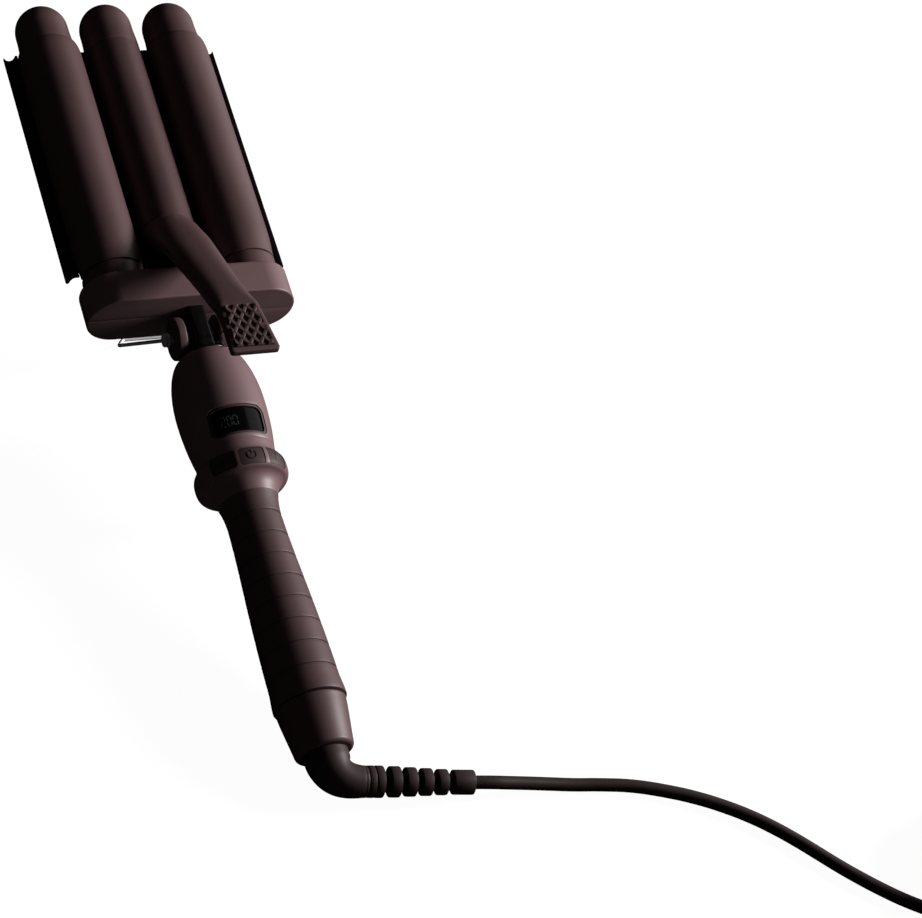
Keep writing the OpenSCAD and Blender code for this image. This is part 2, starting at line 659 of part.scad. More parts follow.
// ---- Display, board and buttons ----
lens_t = 1.4;
module display_lens() color(black) intersection() {
    difference() {
        turned(concat([[0, bulb_top]], bulb_line(0.5), [[0, ring_top]]));
        turned(concat([[0, bulb_top]], bulb_line(0.5 + lens_t), [[0, ring_top]]));
    }
    window_column(-0.05, 3.5);
}
board_z = 7;
board_t = 1.6;
module display_module() color(steel) translate([0, window_y, board_z + board_t + 0.02])
    block([-10.5, -7, 0], [10.5, 7, 3.2]);
board_top = bulb_top - 20;
board_foot = grip_top + 8;
module control_board() color(board_green) {
    block([-10, board_foot, board_z], [10, board_top, board_z + board_t]);
    block([-6, ring_top + 4, board_z - 8], [6, ring_top + 22, board_z + 0.1]);
}
button_y = ring_top - 11.6;
button_foot_r = 15.6;
// Buttons side by side meet above this radius, with a running gap between them
button_deep_r = (button_w / 2 + button_gap) / tan(button_angle / 2) + button_gap;
stem_w = 6;
switch_top = button_foot_r - button_travel - 0.2;
module around(a) rotate([0, a, 0]) children();
module button_switches() color(steel) {
    foot = board_z + board_t + 0.02;
    block([-2.5, button_y - 2.5, foot], [2.5, button_y + 2.5, switch_top]);
    for (s = [-1, 1]) {
        around(s * button_angle) block([-2.5, button_y - 2.5, 13], [2.5, button_y + 2.5, switch_top]);
        block([s > 0 ? 5.6 : -9.2, button_y - 2, foot], [s > 0 ? 9.2 : -5.6, button_y + 2, foot + 1.6]);
    }
}
// The collar's outline, bulging to its largest radius a little above its middle
ring_mid = ring_top - 10;
function ring_line(grow) = concat(
    bezier_run([bulb_foot_r + 0.1 + grow, ring_top], [bulb_foot_r + 2.2 + grow, ring_top - 2],
               [ring_r + grow, ring_mid + 4.5], [ring_r + grow, ring_mid], 8),
    bezier_run([ring_r + grow, ring_mid - 0.3], [ring_r + grow, ring_mid - 8.6],
               [grip_neck_r + 2 + grow, grip_top + 6], [grip_neck_r + 1.3 + grow, grip_top], 10));
module button_solid(margin, foot, grow) intersection() {
    turned(concat([[0, ring_top]], ring_line(grow), [[0, grip_top]]));
    translate([0, button_y, foot]) linear_extrude(30)
        rounded_rect(button_w + 2 * margin, button_h + 2 * margin, 1.2 + margin);
}
module button_shape(a) color(brown) around(a) {
    button_solid(0, button_deep_r, 0.25);
    block([-stem_w / 2, button_y - stem_w / 2, button_foot_r],
          [stem_w / 2, button_y + stem_w / 2, button_deep_r + 0.5]);
}
module button_power() button_shape(0);
module button_left() button_shape(-button_angle);
module button_right() button_shape(button_angle);
ring_in = 17.4;
module button_collar() color(brown) difference() {
    turned(concat([[ring_in, ring_top]], ring_line(0),
                  [[core_r + snug, grip_top], [core_r + snug, grip_top + 3], [ring_in - 3, grip_top + 6],
                   [ring_in, grip_top + 9]]));
    for (a = [-1, 0, 1]) around(a * button_angle) translate([0, button_y, core_r + 1]) linear_extrude(30)
        rounded_rect(button_w + 2 * button_gap, button_h + 2 * button_gap, 1.2 + button_gap);
}

// ---- Grip ----
grip_mid_y = grip_top - 11;
function grip_line() = concat(
    bezier_run([grip_neck_r + 1.2, grip_top], [grip_neck_r + 0.6, grip_top - 3],
               [grip_neck_r, grip_mid_y + 5], [grip_neck_r, grip_mid_y], 6),
    bezier_run([grip_neck_r, grip_mid_y - 0.5], [grip_neck_r + 0.3, grip_mid_y - 24],
               [grip_r - 0.7, flare_top + 40], [grip_r, flare_top], 14));
module grip_sleeve() color(brown) difference() {
    turned(concat([[core_r + snug, grip_top - 0.05]], [for (p = grip_line()) [p[0], min(p[1], grip_top - 0.05)]],
                  [[core_r + snug, flare_top]]));
    for (i = [0 : grooves - 1]) translate([0, groove_y(i), 0]) groove_cutter(grip_radius(groove_y(i)));
}
function groove_y(i) = grip_top - 10.5 - i * (grip_len - 13.3) / (grooves - 1);
// The grip's radius at y, read off its outline
function grip_radius(y) = let (line = [for (p = grip_line()) [-p[1], p[0]]]) lookup(-y, line);
module groove_cutter(r) difference() {
    along_y(r + 2, -0.35, 0.35);
    along_y(r - groove_depth, -1, 1);
}
module inner_tube() color(black) difference() {
    union() {
        along_y(core_r, end_top - 6, ring_top - 2);
        along_y(core_r + 1.6, ring_top - 4, ring_top - 2);
    }
    along_y(core_r - core_wall, end_top - 7, ring_top);
    block([-big, board_foot - 0.4, board_z - 0.02], [big, ring_top, big]);
}
module flared_ring() color(brown) turned(concat(
    [[core_r + snug, flare_top - 0.1], [grip_r - 0.3, flare_top - 0.1], [grip_r + 0.2, flare_top - 0.6]],
    bezier_run([grip_r + 0.2, flare_top - 1], [grip_r + 0.3, flare_top - 4], [grip_r + 0.6, end_top + 5],
               [grip_r + 0.7, end_top + 1], 5),
    [[grip_r + 0.3, end_top + 0.5], [core_r + snug, end_top + 0.5]]));

// ---- End cap and swivel ----
spindle_r = 6.6;
module end_cap() color(brown) turned(concat(
    [[core_r + snug, end_top + 0.1], [grip_r - 0.3, end_top + 0.1], [grip_r - 0.1, end_top - 0.4]],
    bezier_run([grip_r - 0.2, end_top - 1], [grip_r - 0.8, end_top - 8], [end_r + 0.8, end_y + 9],
               [end_r + 0.02, end_y + rim_round], 6),
    arc_run([end_r - rim_round, end_y + rim_round], rim_round, 0, -90, 6),
    [[spindle_r + 0.08, end_y], [spindle_r + 0.08, end_y + 3], [core_r + snug, end_y + 3]]));
module brush_holder() color(black) difference() {
    along_y(core_r - core_wall - snug, end_top - 2, end_top + 8);
    along_y(3, end_top + 4, end_top + 9);
    along_y(4.6, end_top - 3, end_top + 6);
}
module swivel_spindle() color(black) difference() {
    union() {
        along_y(spindle_r, end_y - 0.2, end_y + 3.3);
        along_y(spindle_r + 2.2, end_y + 3.3, end_y + 5.5);
        along_y(2.9, end_y + 5, end_top + 2);
    }
    along_y(1.7, end_y + 6, end_top + 3);
    along_y(3.2 + 0, end_y - 1, end_y + 2);
}
module slip_rings() color(brass) for (y = [end_top - 3.5, end_top + 0.2]) translate([0, y, 0])
    difference() {
        along_y(3.9, -0.9, 0.9);
        along_y(2.9 + 0.02, -2, 2);
    }

// ---- Elbow boot and strain relief, in the tool's frame ----
relief_turn = 10;
relief_dir = [cos(relief_turn), -sin(relief_turn), 0];
relief_start = [13, end_y - 16.4, 0];
relief_len = 51;
relief_end = relief_start + relief_len * relief_dir;
bend_a = [0, end_y - 0.2, 0];
module elbow_boot() color(brown) {
    n = 18;
    path = concat([bend_a], [for (i = [0 : n]) bezier(bend_a + [0, -0.6, 0], bend_a + [0, -13, 0],
                                                      relief_start - 10 * relief_dir, relief_start, i / n)]);
    radii = [for (i = [0 : n + 1]) let (t = max(0, i - 1) / n) elbow_r + (relief_r + 0.5 - elbow_r) * (t < 0.15 ? 0 : (t - 0.15) / 0.85)];
    sweep(path, radii, 32);
}
rib_len = 5.2;
rib_gap = 2.1;
module strain_relief() color(brown) translate(relief_start) rotate([0, 0, -relief_turn]) rotate([0, 90, 0])
    rotate_extrude($fn = 48) polygon(concat(
        [[0, 0.05], [relief_r + 0.5, 0.05], [relief_r + 0.2, 4]],
        [for (i = [0 : 5], p = [[4.7, 0], [4.7, rib_gap], [1, rib_gap], [1, rib_gap + rib_len]])
            [p[0] == 1 ? relief_r - 0.25 * i : p[0], 4 + i * (rib_len + rib_gap) + p[1]]],
        [[relief_r - 1.6, relief_len - 1.5], [relief_r - 1.7, relief_len], [0, relief_len]]));

// ---- Lead: free run, coil, tail and plug, on the table ----
cord_r = cord_d / 2;
cord_z = cord_r + 0.02;
tie_t = 0.8;
coil_z = cord_r + tie_t + 0.25;
cord_exit = on_table_point(relief_end);
cord_lead = on_table_point(relief_end + 10 * relief_dir);
// The lead runs over the table in an easy bend and meets the coil on its heading
coil_layers = 4;
coil_turns = 1.75;
coil_step = cord_d + 0.6;
coil_out = coil_in + coil_turns * coil_step;
heading = -20;
meet = [300, -360];
way = [cos(heading), sin(heading)];
coil_centre = meet + coil_out * [-way[1], way[0]];
stub = cord_d;
meet_point = [meet[0] - stub * way[0], meet[1] - stub * way[1], coil_z];
before_meet = [meet[0] - 22 * way[0], meet[1] - 22 * way[1], coil_z - 0.6];
route = [[92, -237, 5.4], [112, -240, cord_z + 0.1], [140, -246, cord_z], [168, -258, cord_z],
         [190, -273, cord_z], [206, -289, cord_z], [220, -306, cord_z], [235, -322, cord_z],
         [252, -336, cord_z]];
free_path = concat([cord_exit], smooth(concat([cord_lead], route, [before_meet, meet_point]), 4));
module cord() color(cord_brown) even_sweep(free_path, cord_r, 12);

// A flat coil of four layers: in, out, in and out again, climbing where the spiral turns back
function coil_level(turn) = let (near = round(turn / coil_turns), past = (turn - near * coil_turns) / 0.5)
    near == 0 ? 0 : near == coil_layers ? coil_layers - 1 : near - 1 + max(0, min(1, past + 0.5));
function coil_share(turn) = let (layer = min(floor(turn / coil_turns + 0.0001), coil_layers - 1),
                                 along = turn / coil_turns - layer) layer % 2 == 0 ? 1 - along : along;
function coil_point(turn) = let (r = coil_in + coil_share(turn) * coil_turns * coil_step,
                                 a = heading - 90 + 360 * turn)
    [coil_centre[0] + r * cos(a), coil_centre[1] + r * sin(a), coil_z + coil_level(turn) * coil_step];
coil_steps = 24;
coil_run = [for (i = [0 : coil_layers * coil_turns * coil_steps]) coil_point(i / coil_steps)];
coil_last = coil_run[len(coil_run) - 1];
tail_start = coil_last + stub * [way[0], way[1], 0];
coil_path = concat([meet_point], coil_run, [tail_start]);
module cord_coil() color(cord_brown) even_sweep(coil_path, cord_r, 6);
coil_gap = min([for (i = [0 : len(coil_run) - 13], j = [i + 12 : len(coil_run) - 1])
                norm(coil_run[i] - coil_run[j])]) - cord_d;
echo(coil_gap = coil_gap);

echo(pitch = pitch, mid_y = mid_y, rest_z = rest_z, end_y = end_y, button_y = button_y, ring_top = ring_top);

// The tail comes down round the coil to the plug, which lies flat beside it on the table
plug_t = 13.8;
plug_foot = [366, -314, plug_t / 2];
tail_route = [[329, -367, 22], [346, -358, 17], [358, -345, 12], [365, -330, 8.5]];
tail_path = concat([tail_start], smooth(concat([tail_start + 6 * [way[0], way[1], 0]], tail_route,
                   [plug_foot - [0, 9, 0], plug_foot - [0, 4, 0]]), 4), [plug_foot]);
module cord_tail() color(cord_brown) even_sweep(tail_path, cord_r, 12);
module coil_tie() color(black) translate([coil_centre[0], coil_centre[1], 0]) rotate([0, 0, heading + 90]) {
    near = coil_in - cord_r - 0.8;
    far = coil_out + cord_r + 0.6;
    top = coil_z + (coil_layers - 1) * coil_step + cord_r + 0.3;
    difference() {
        block([near - tie_t, -4, 0.02], [far + tie_t, 4, top + tie_t]);
        block([near, -5, 0.02 + tie_t], [far, 5, top]);
    }
}
// A flat two-pin plug
pin_gap = 18.8;
plug_len = 35;
module plug_body() color(brown) translate(plug_foot) rotate([0, 0, 90]) intersection() {
    translate([0, 0, -plug_t / 2]) linear_extrude(plug_t) polygon([[0, -6], [9, -6.4], [19, -15], [plug_len, -17.6],
        [plug_len, 17.6], [19, 15], [9, 6.4], [0, 6]]);
    side_slab();
}
module side_slab() translate([0, plug_len, 0]) rotate([90, 0, 0]) linear_extrude(2 * plug_len) polygon(
    [[0, -4.6], [5, -5.2], [14, -plug_t / 2], [plug_len - 1, -plug_t / 2], [plug_len, -plug_t / 2 + 1],
     [plug_len, plug_t / 2 - 1], [plug_len - 1, plug_t / 2], [14, plug_t / 2], [5, 5.2], [0, 4.6]]);
echo(plug_foot = plug_foot, pin_gap = pin_gap, button_angle = button_angle, button_travel = button_travel);
module plug_pins() color(steel) translate(plug_foot) rotate([0, 0, 90]) for (s = [-1, 1]) {
    translate([plug_len, s * pin_gap / 2, 0]) rotate([0, 90, 0]) cylinder(r = 2, h = 18.4, $fn = 32);
    translate([plug_len + 18.4, s * pin_gap / 2, 0]) rotate([0, 90, 0]) cylinder(r1 = 2, r2 = 1.4, h = 0.8, $fn = 32);
}

on_table() head_block_front();
on_table() head_block_back();
on_table() block_screws();
on_table() left_barrel();
on_table() right_barrel();
on_table() left_tip_cap();
on_table() right_tip_cap();
on_table() left_heat_collar();
on_table() right_heat_collar();
on_table() left_heater();
on_table() right_heater();
on_table() trough_plate();
on_table() trough_cover();
on_table() neck_post();
on_table() neck_ring();
on_table() hinge_pin();
on_table() thermal_fuse();
on_table() wire_loom();
on_table() middle_barrel();
on_table() middle_tip_cap();
on_table() middle_heater();
on_table() left_clip_plate();
on_table() right_clip_plate();
on_table() left_wing();
on_table() right_wing();
on_table() clip_arm();
on_table() thumb_pad();
on_table() lever_spring();
on_table() wire_stand();
on_table() housing_front();
on_table() housing_back();
on_table() housing_screws();
on_table() display_lens();
on_table() display_module();
on_table() control_board();
on_table() button_switches();
on_table() button_collar();
on_table() button_power();
on_table() button_left();
on_table() button_right();
on_table() inner_tube();
on_table() grip_sleeve();
on_table() flared_ring();
on_table() end_cap();
on_table() brush_holder();
on_table() swivel_spindle();
on_table() slip_rings();
on_table() elbow_boot();
on_table() strain_relief();
cord();
cord_coil();
cord_tail();
coil_tie();
plug_body();
plug_pins();
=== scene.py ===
# %% [markdown]
# # A three-barrel hair waver, dressed piece by piece
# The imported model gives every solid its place. Here each one that shows gets its real surface: rounded shells,
# seams, ribs, a display, and finishes made from nodes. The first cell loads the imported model.

# %% Load the frame
import math
import bpy
from mathutils import Matrix, Vector


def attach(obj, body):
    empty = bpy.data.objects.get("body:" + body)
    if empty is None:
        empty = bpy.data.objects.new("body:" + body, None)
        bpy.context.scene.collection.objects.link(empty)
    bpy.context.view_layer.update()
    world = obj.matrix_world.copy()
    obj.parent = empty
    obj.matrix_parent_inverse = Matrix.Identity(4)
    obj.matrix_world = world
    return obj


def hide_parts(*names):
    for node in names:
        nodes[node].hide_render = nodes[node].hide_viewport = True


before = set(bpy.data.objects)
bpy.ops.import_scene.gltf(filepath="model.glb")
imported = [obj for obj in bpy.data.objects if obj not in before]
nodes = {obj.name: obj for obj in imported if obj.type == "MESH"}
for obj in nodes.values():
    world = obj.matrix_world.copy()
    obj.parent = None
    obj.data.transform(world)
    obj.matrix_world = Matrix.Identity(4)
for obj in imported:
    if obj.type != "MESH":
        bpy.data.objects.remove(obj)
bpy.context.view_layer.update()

# %% [markdown]
# ## The camera
# The photograph looks down on the tool from its left and from the handle's side, with a long lens. The place,
# the turn and the focal length were found by fitting the straight edges of the barrels and the handle.

# %% Camera
camera_data = bpy.data.cameras.new("camera")
camera_data.lens = 97.07
camera_data.sensor_width = 36
camera_data.clip_end = 20
camera = bpy.data.objects.new("camera", camera_data)
camera.location = (-0.37947, -0.77631, 0.87153)
camera.rotation_euler = [math.radians(a) for a in (44.179, -13.933, -20.933)]
bpy.context.scene.collection.objects.link(camera)
bpy.context.scene.camera = camera
bpy.context.scene.view_settings.view_transform = "Standard"

# %% [markdown]
# ## From the bench to the table
# The tool is easiest to model as it is drawn on a bench: in millimetres, X across, Y along the handle to the
# tips, Z to the front, with the clip's hinge pin at the origin. On the table it lies tipped up on its stand, so
# one matrix carries each finished piece over, and is then applied, which leaves its place in its mesh.

# %% Bench helpers
PITCH = math.radians(10.2888)
ON_TABLE = (Matrix.Translation((0, 0.0102483, 0.0528862)) @ Matrix.Rotation(PITCH, 4, "X")
            @ Matrix.Scale(0.001, 4))


def let_go():
    """Leaves edit mode with nothing selected, so that the next operator acts on its own piece alone."""
    if bpy.context.mode != "OBJECT":
        bpy.ops.object.mode_set(mode="OBJECT")
    bpy.ops.object.select_all(action="DESELECT")


def hold(piece):
    let_go()
    piece.select_set(True)
    bpy.context.view_layer.objects.active = piece
    return piece


def modify(piece, kind, **settings):
    """Adds a modifier and applies it."""
    hold(piece)
    modifier = piece.modifiers.new(kind.lower(), kind)
    for name, value in settings.items():
        setattr(modifier, name, value)
    bpy.ops.object.modifier_apply(modifier=modifier.name)
    return piece


def tidy(piece, distance=0.001):
    """Merges doubled points and turns every face outwards."""
    hold(piece)
    bpy.ops.object.mode_set(mode="EDIT")
    bpy.ops.mesh.select_all(action="SELECT")
    bpy.ops.mesh.remove_doubles(threshold=distance)
    bpy.ops.mesh.normals_make_consistent(inside=False)
    bpy.ops.object.mode_set(mode="OBJECT")
    return piece


def round_edges(piece, width, angle=35, segments=3):
    return modify(piece, "BEVEL", width=width, segments=segments, limit_method="ANGLE",
                  angle_limit=math.radians(angle), use_clamp_overlap=True)


def settle(piece):
    """Applies a piece's move, turn and scale to its mesh."""
    hold(piece)
    bpy.ops.object.transform_apply(location=True, rotation=True, scale=True)
    return piece


def put_on_table(piece, matrix=ON_TABLE):
    hold(piece)
    piece.matrix_world = matrix @ piece.matrix_world
    return settle(piece)


count = {"pieces": 0, "faces": 0}


def done(piece, body, stands_for, material, smooth=35, matrix=ON_TABLE):
    """Places a finished piece, hangs it on its body, and lets it stand for its solids."""
    put_on_table(piece, matrix)
    bpy.ops.object.shade_smooth_by_angle(angle=math.radians(smooth))
    piece.data.materials.clear()
    piece.data.materials.append(material)
    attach(piece, body)
    if stands_for:
        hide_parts(*([stands_for] if isinstance(stands_for, str) else stands_for))
    count["pieces"] += 1
    count["faces"] += len(piece.data.polygons)
    print(f"{piece.name}: {len(piece.data.polygons)} faces, on {body}")
    return piece


# %% [markdown]
# ## Drawing with one point
# Most pieces of this tool start as a line: the outline of a turned cap, the section of a bent plate. A plane is
# added and merged to a single point, and the point is extruded from place to place, as a pen would go. The line
# can then be spun round an axis or drawn out along one.

# %% Line, spin and draw
def line(name, points):
    """An open line of edges through the points, left in edit mode with all of it selected."""
    let_go()
    bpy.ops.mesh.primitive_plane_add(size=1, location=(0, 0, 0))
    piece = bpy.context.active_object
    piece.name = name
    bpy.ops.object.mode_set(mode="EDIT")
    bpy.ops.mesh.select_mode(type="VERT")
    bpy.ops.mesh.select_all(action="SELECT")
    bpy.ops.mesh.merge(type="CENTER")
    bpy.ops.transform.translate(value=points[0])
    for a, b in zip(points, points[1:]):
        bpy.ops.mesh.extrude_vertices_move(TRANSFORM_OT_translate={"value": [q - p for p, q in zip(a, b)]})
    bpy.ops.mesh.select_all(action="SELECT")
    return piece


def turned(name, outline, steps=96, centre=(0, 0, 0), angle=360, start=0):
    """Spins an outline of (radius, y) round an axis along Y; start and angle count from +X towards +Z."""
    c, s = math.cos(math.radians(start)), math.sin(math.radians(start))
    cx, cy, cz = centre
    piece = line(name, [(cx + r * c, cy + y, cz + r * s) for r, y in outline])
    bpy.ops.mesh.spin(steps=steps, angle=math.radians(angle), center=centre, axis=(0, 1, 0))
    bpy.ops.object.mode_set(mode="OBJECT")
    return tidy(piece, 0.0005)


def drawn(name, points, along):
    """Closes a line into a face and extrudes it by a vector."""
    piece = line(name, points)
    bpy.ops.mesh.edge_face_add()
    bpy.ops.mesh.extrude_region_move(TRANSFORM_OT_translate={"value": along})
    bpy.ops.object.mode_set(mode="OBJECT")
    return tidy(piece, 0.0005)


def box(name, low, high):
    """A block between two corners, from the cube primitive."""
    let_go()
    bpy.ops.mesh.primitive_cube_add(size=1, location=[(a + b) / 2 for a, b in zip(low, high)],
                                    scale=[b - a for a, b in zip(low, high)])
    piece = bpy.context.active_object
    piece.name = name
    bpy.ops.object.transform_apply(location=True, rotation=True, scale=True)
    return piece


def barrel(name, radius, y0, y1, centre=(0, 0), axis="Y", vertices=64):
    """A plain round bar to cut or build with."""
    let_go()
    turn = {"Y": (math.radians(-90), 0, 0), "X": (0, math.radians(90), 0), "Z": (0, 0, 0)}[axis]
    mid = (y0 + y1) / 2
    place = {"Y": (centre[0], mid, centre[1]), "X": (mid, *centre), "Z": (*centre, mid)}[axis]
    bpy.ops.mesh.primitive_cylinder_add(vertices=vertices, radius=radius, depth=abs(y1 - y0), location=place,
                                        rotation=turn)
    piece = bpy.context.active_object
    piece.name = name
    bpy.ops.object.transform_apply(location=True, rotation=True, scale=True)
    return piece


def cut(piece, tool, how="DIFFERENCE"):
    """Cuts a piece with a tool piece, which is then thrown away."""
    modify(piece, "BOOLEAN", object=tool, operation=how, solver="EXACT")
    bpy.data.objects.remove(tool)
    return piece


def copy_of(piece, name, shift=(0, 0, 0), flip=None):
    """A copy with its own mesh, moved or mirrored on the bench."""
    hold(piece)
    bpy.ops.object.duplicate(linked=False)
    twin = bpy.context.active_object
    twin.name = name
    twin.location = Vector(shift)
    if flip == "X":
        twin.scale = (-1, 1, 1)
    bpy.ops.object.transform_apply(location=True, rotation=True, scale=True)
    return tidy(twin, 0.0001) if flip else twin


def joined(name, pieces):
    hold(pieces[0])
    for other in pieces:
        other.select_set(True)
    bpy.ops.object.join()
    pieces[0].name = name
    return pieces[0]


def arc(cx, cy, r, a0, a1, n):
    return [(cx + r * math.cos(math.radians(a0 + (a1 - a0) * i / n)),
             cy + r * math.sin(math.radians(a0 + (a1 - a0) * i / n))) for i in range(n + 1)]


def bezier(a, b, c, d, n):
    t = [i / n for i in range(n + 1)]
    return [tuple(a[k] * (1 - u) ** 3 + 3 * b[k] * u * (1 - u) ** 2 + 3 * c[k] * u * u * (1 - u) + d[k] * u ** 3
                  for k in range(len(a))) for u in t]


print("bench ready, tipped by", round(math.degrees(PITCH), 2), "degrees")

# %% [markdown]
# ## The finishes
# The real shells are a soft-touch dark brown plastic with a very fine spark-eroded grain. The grain is too fine
# to draw, so it is a node group used by every moulded finish: fine noise for the bump, and slow noise that
# shifts colour and roughness a little, as handling does.

# %% Node groups
def add(tree, kind, place=(0, 0), **values):
    node = tree.nodes.new(kind)
    node.location = place
    for name, value in values.items():
        setattr(node, name, value)
    return node


def grain_group():
    """Grain: in Scale and Slow Scale; out Height for a bump, Speck for roughness and Cloud for colour."""
    group = bpy.data.node_groups.new("moulded_grain", "ShaderNodeTree")
    group.interface.new_socket("Scale", in_out="INPUT", socket_type="NodeSocketFloat").default_value = 3000
    group.interface.new_socket("Slow Scale", in_out="INPUT", socket_type="NodeSocketFloat").default_value = 40
    for name in ("Height", "Speck", "Cloud"):
        group.interface.new_socket(name, in_out="OUTPUT", socket_type="NodeSocketFloat")
    start, end = add(group, "NodeGroupInput", (-900, 0)), add(group, "NodeGroupOutput", (400, 0))
    place = add(group, "ShaderNodeTexCoord", (-900, 300))
    fine = add(group, "ShaderNodeTexNoise", (-600, 300))
    fine.inputs["Detail"].default_value = 3
    fine.inputs["Roughness"].default_value = 0.6
    cells = add(group, "ShaderNodeTexVoronoi", (-600, 0), feature="SMOOTH_F1")
    slow = add(group, "ShaderNodeTexNoise", (-600, -300))
    slow.inputs["Detail"].default_value = 5
    slow.inputs["Roughness"].default_value = 0.55
    mix = add(group, "ShaderNodeMath", (-300, 150), operation="MULTIPLY_ADD")
    mix.inputs[1].default_value = 0.6
    spread = add(group, "ShaderNodeMapRange", (-300, -300))
    spread.inputs["From Min"].default_value = 0.3
    spread.inputs["From Max"].default_value = 0.7
    link = group.links.new
    for texture in (fine, cells, slow):
        link(place.outputs["Object"], texture.inputs["Vector"])
    link(start.outputs["Scale"], fine.inputs["Scale"])
    link(start.outputs["Scale"], cells.inputs["Scale"])
    link(start.outputs["Slow Scale"], slow.inputs["Scale"])
    link(fine.outputs["Fac"], mix.inputs[0])
    link(cells.outputs["Distance"], mix.inputs[2])
    link(mix.outputs["Value"], end.inputs["Height"])
    link(fine.outputs["Fac"], end.inputs["Speck"])
    link(slow.outputs["Fac"], spread.inputs["Value"])
    link(spread.outputs["Result"], end.inputs["Cloud"])
    return group


GRAIN = grain_group()


def linear(r, g, b):
    """A screen colour of 0 to 255 as the light values that a shader takes."""
    return tuple((v / 255 / 12.92) if v <= 10 else ((v / 255 + 0.055) / 1.055) ** 2.4 for v in (r, g, b)) + (1,)


def finish(name, colour, other, rough, grain=2600, slow=35, bump=0.06, depth=0.00004, metal=0.0,
           specular=0.5):
    """A moulded or coated finish: two close colours, a grain and a roughness range, all on Object coordinates."""
    material = bpy.data.materials.new(name)
    material.use_nodes = True
    tree = material.node_tree
    shader = tree.nodes["Principled BSDF"]
    shader.inputs["Metallic"].default_value = metal
    shader.inputs["Specular IOR Level"].default_value = specular
    grains = add(tree, "ShaderNodeGroup", (-900, 0))
    grains.node_tree = GRAIN
    grains.inputs["Scale"].default_value = grain
    grains.inputs["Slow Scale"].default_value = slow
    colours = add(tree, "ShaderNodeMix", (-500, 200), data_type="RGBA")
    colours.inputs[6].default_value = linear(*colour)
    colours.inputs[7].default_value = linear(*other)
    roughness = add(tree, "ShaderNodeMapRange", (-500, -50))
    roughness.inputs["To Min"].default_value = rough[0]
    roughness.inputs["To Max"].default_value = rough[1]
    relief = add(tree, "ShaderNodeBump", (-300, -300))
    relief.inputs["Strength"].default_value = bump
    relief.inputs["Distance"].default_value = depth
    link = tree.links.new
    link(grains.outputs["Cloud"], colours.inputs[0])
    link(colours.outputs[2], shader.inputs["Base Color"])
    link(grains.outputs["Speck"], roughness.inputs["Value"])
    link(roughness.outputs["Result"], shader.inputs["Roughness"])
    link(grains.outputs["Height"], relief.inputs["Height"])
    link(relief.outputs["Normal"], shader.inputs["Normal"])
    return material


# %% Finishes of this tool
brown_shell = finish("brown_shell", (88, 64, 65), (79, 57, 58), (0.44, 0.54), bump=0.12, specular=0.28)
# Shell brown made lighter for the head block, housing and key collar. This extra lightness is painted light: it is
# fitted to how much brighter these parts show under the key than the other shells.
painted_light_shell = finish("painted_light_shell", (116, 90, 92), (108, 83, 85), (0.42, 0.52), bump=0.12, specular=0.32)
barrel_coat = finish("barrel_coat", (80, 58, 59), (72, 52, 53), (0.4, 0.48), grain=4200, bump=0.05, specular=0.25)
cap_brown = finish("cap_brown", (90, 66, 67), (82, 59, 60), (0.44, 0.52), bump=0.1, specular=0.25)
black_gloss = finish("black_gloss", (12, 10, 11), (17, 14, 15), (0.2, 0.28), grain=1800, bump=0.03, specular=0.2)
soft_grip = finish("soft_grip", (82, 60, 61), (72, 53, 54), (0.5, 0.6), grain=3200, bump=0.2, specular=0.25)
key_rubber = finish("key_rubber", (66, 48, 49), (57, 41, 42), (0.5, 0.6), grain=2400, bump=0.2, specular=0.2)
cord_sheath = finish("cord_sheath", (46, 32, 32), (39, 27, 27), (0.45, 0.55), grain=2200, bump=0.1, specular=0.15)
boot_rubber = finish("boot_rubber", (56, 40, 40), (48, 34, 34), (0.46, 0.56), grain=2600, bump=0.12, specular=0.2)
bright_steel = finish("bright_steel", (205, 205, 208), (190, 190, 195), (0.2, 0.3), grain=5200, bump=0.02, metal=1.0)
satin_nickel = finish("satin_nickel", (226, 224, 224), (210, 208, 209), (0.34, 0.44), grain=5200, bump=0.02,
                      metal=0.4)
heater_alloy = finish("heater_alloy", (180, 182, 186), (165, 168, 174), (0.4, 0.5), grain=2600, metal=1.0)
brass_ring = finish("brass_ring", (205, 168, 96), (190, 150, 84), (0.25, 0.35), grain=3000, metal=1.0)
board_green = finish("board_green", (30, 84, 50), (24, 72, 42), (0.35, 0.45), grain=900, bump=0.05)
dark_lens = finish("dark_lens", (8, 7, 8), (10, 9, 10), (0.12, 0.18), grain=600, bump=0.0, specular=0.1)
digit_green = finish("digit_green", (44, 56, 46), (34, 44, 36), (0.4, 0.5), grain=900, bump=0.0)
sign_dark = finish("sign_dark", (34, 22, 23), (28, 18, 19), (0.45, 0.55), grain=900, bump=0.0)
module_grey = finish("module_grey", (60, 64, 66), (50, 54, 56), (0.4, 0.5), grain=900, bump=0.05)
print("finishes:", len(bpy.data.materials))

# %% [markdown]
# ## The mains lead comes first
# A lead is a fixed length of something flexible: 6.2 mm thick and about 1.8 m long on such tools. It runs out
# of the strain relief, comes down to the table in its first centimetres and crosses it in an easy S. What the
# photograph doesn't show is wound into a tied coil just outside the view, with the plug beside it.

# %% Route of the lead
CORD_D = 0.0062
CORD_R = 3.1
CORD_Z = CORD_R + 0.02
COIL_Z = CORD_R + 0.8 + 0.25
STEP = 6.8
COIL_IN, TURNS, LAYERS = 27.0, 1.75, 4
COIL_OUT = COIL_IN + TURNS * STEP
HEADING = math.radians(-20)
WAY = Vector((math.cos(HEADING), math.sin(HEADING), 0))
MEET = Vector((300, -360, COIL_Z))
COIL_C = MEET + COIL_OUT * Vector((-WAY.y, WAY.x, 0))


def bench_point(x, y, z):
    return ON_TABLE @ Vector((x, y, z)) * 1000


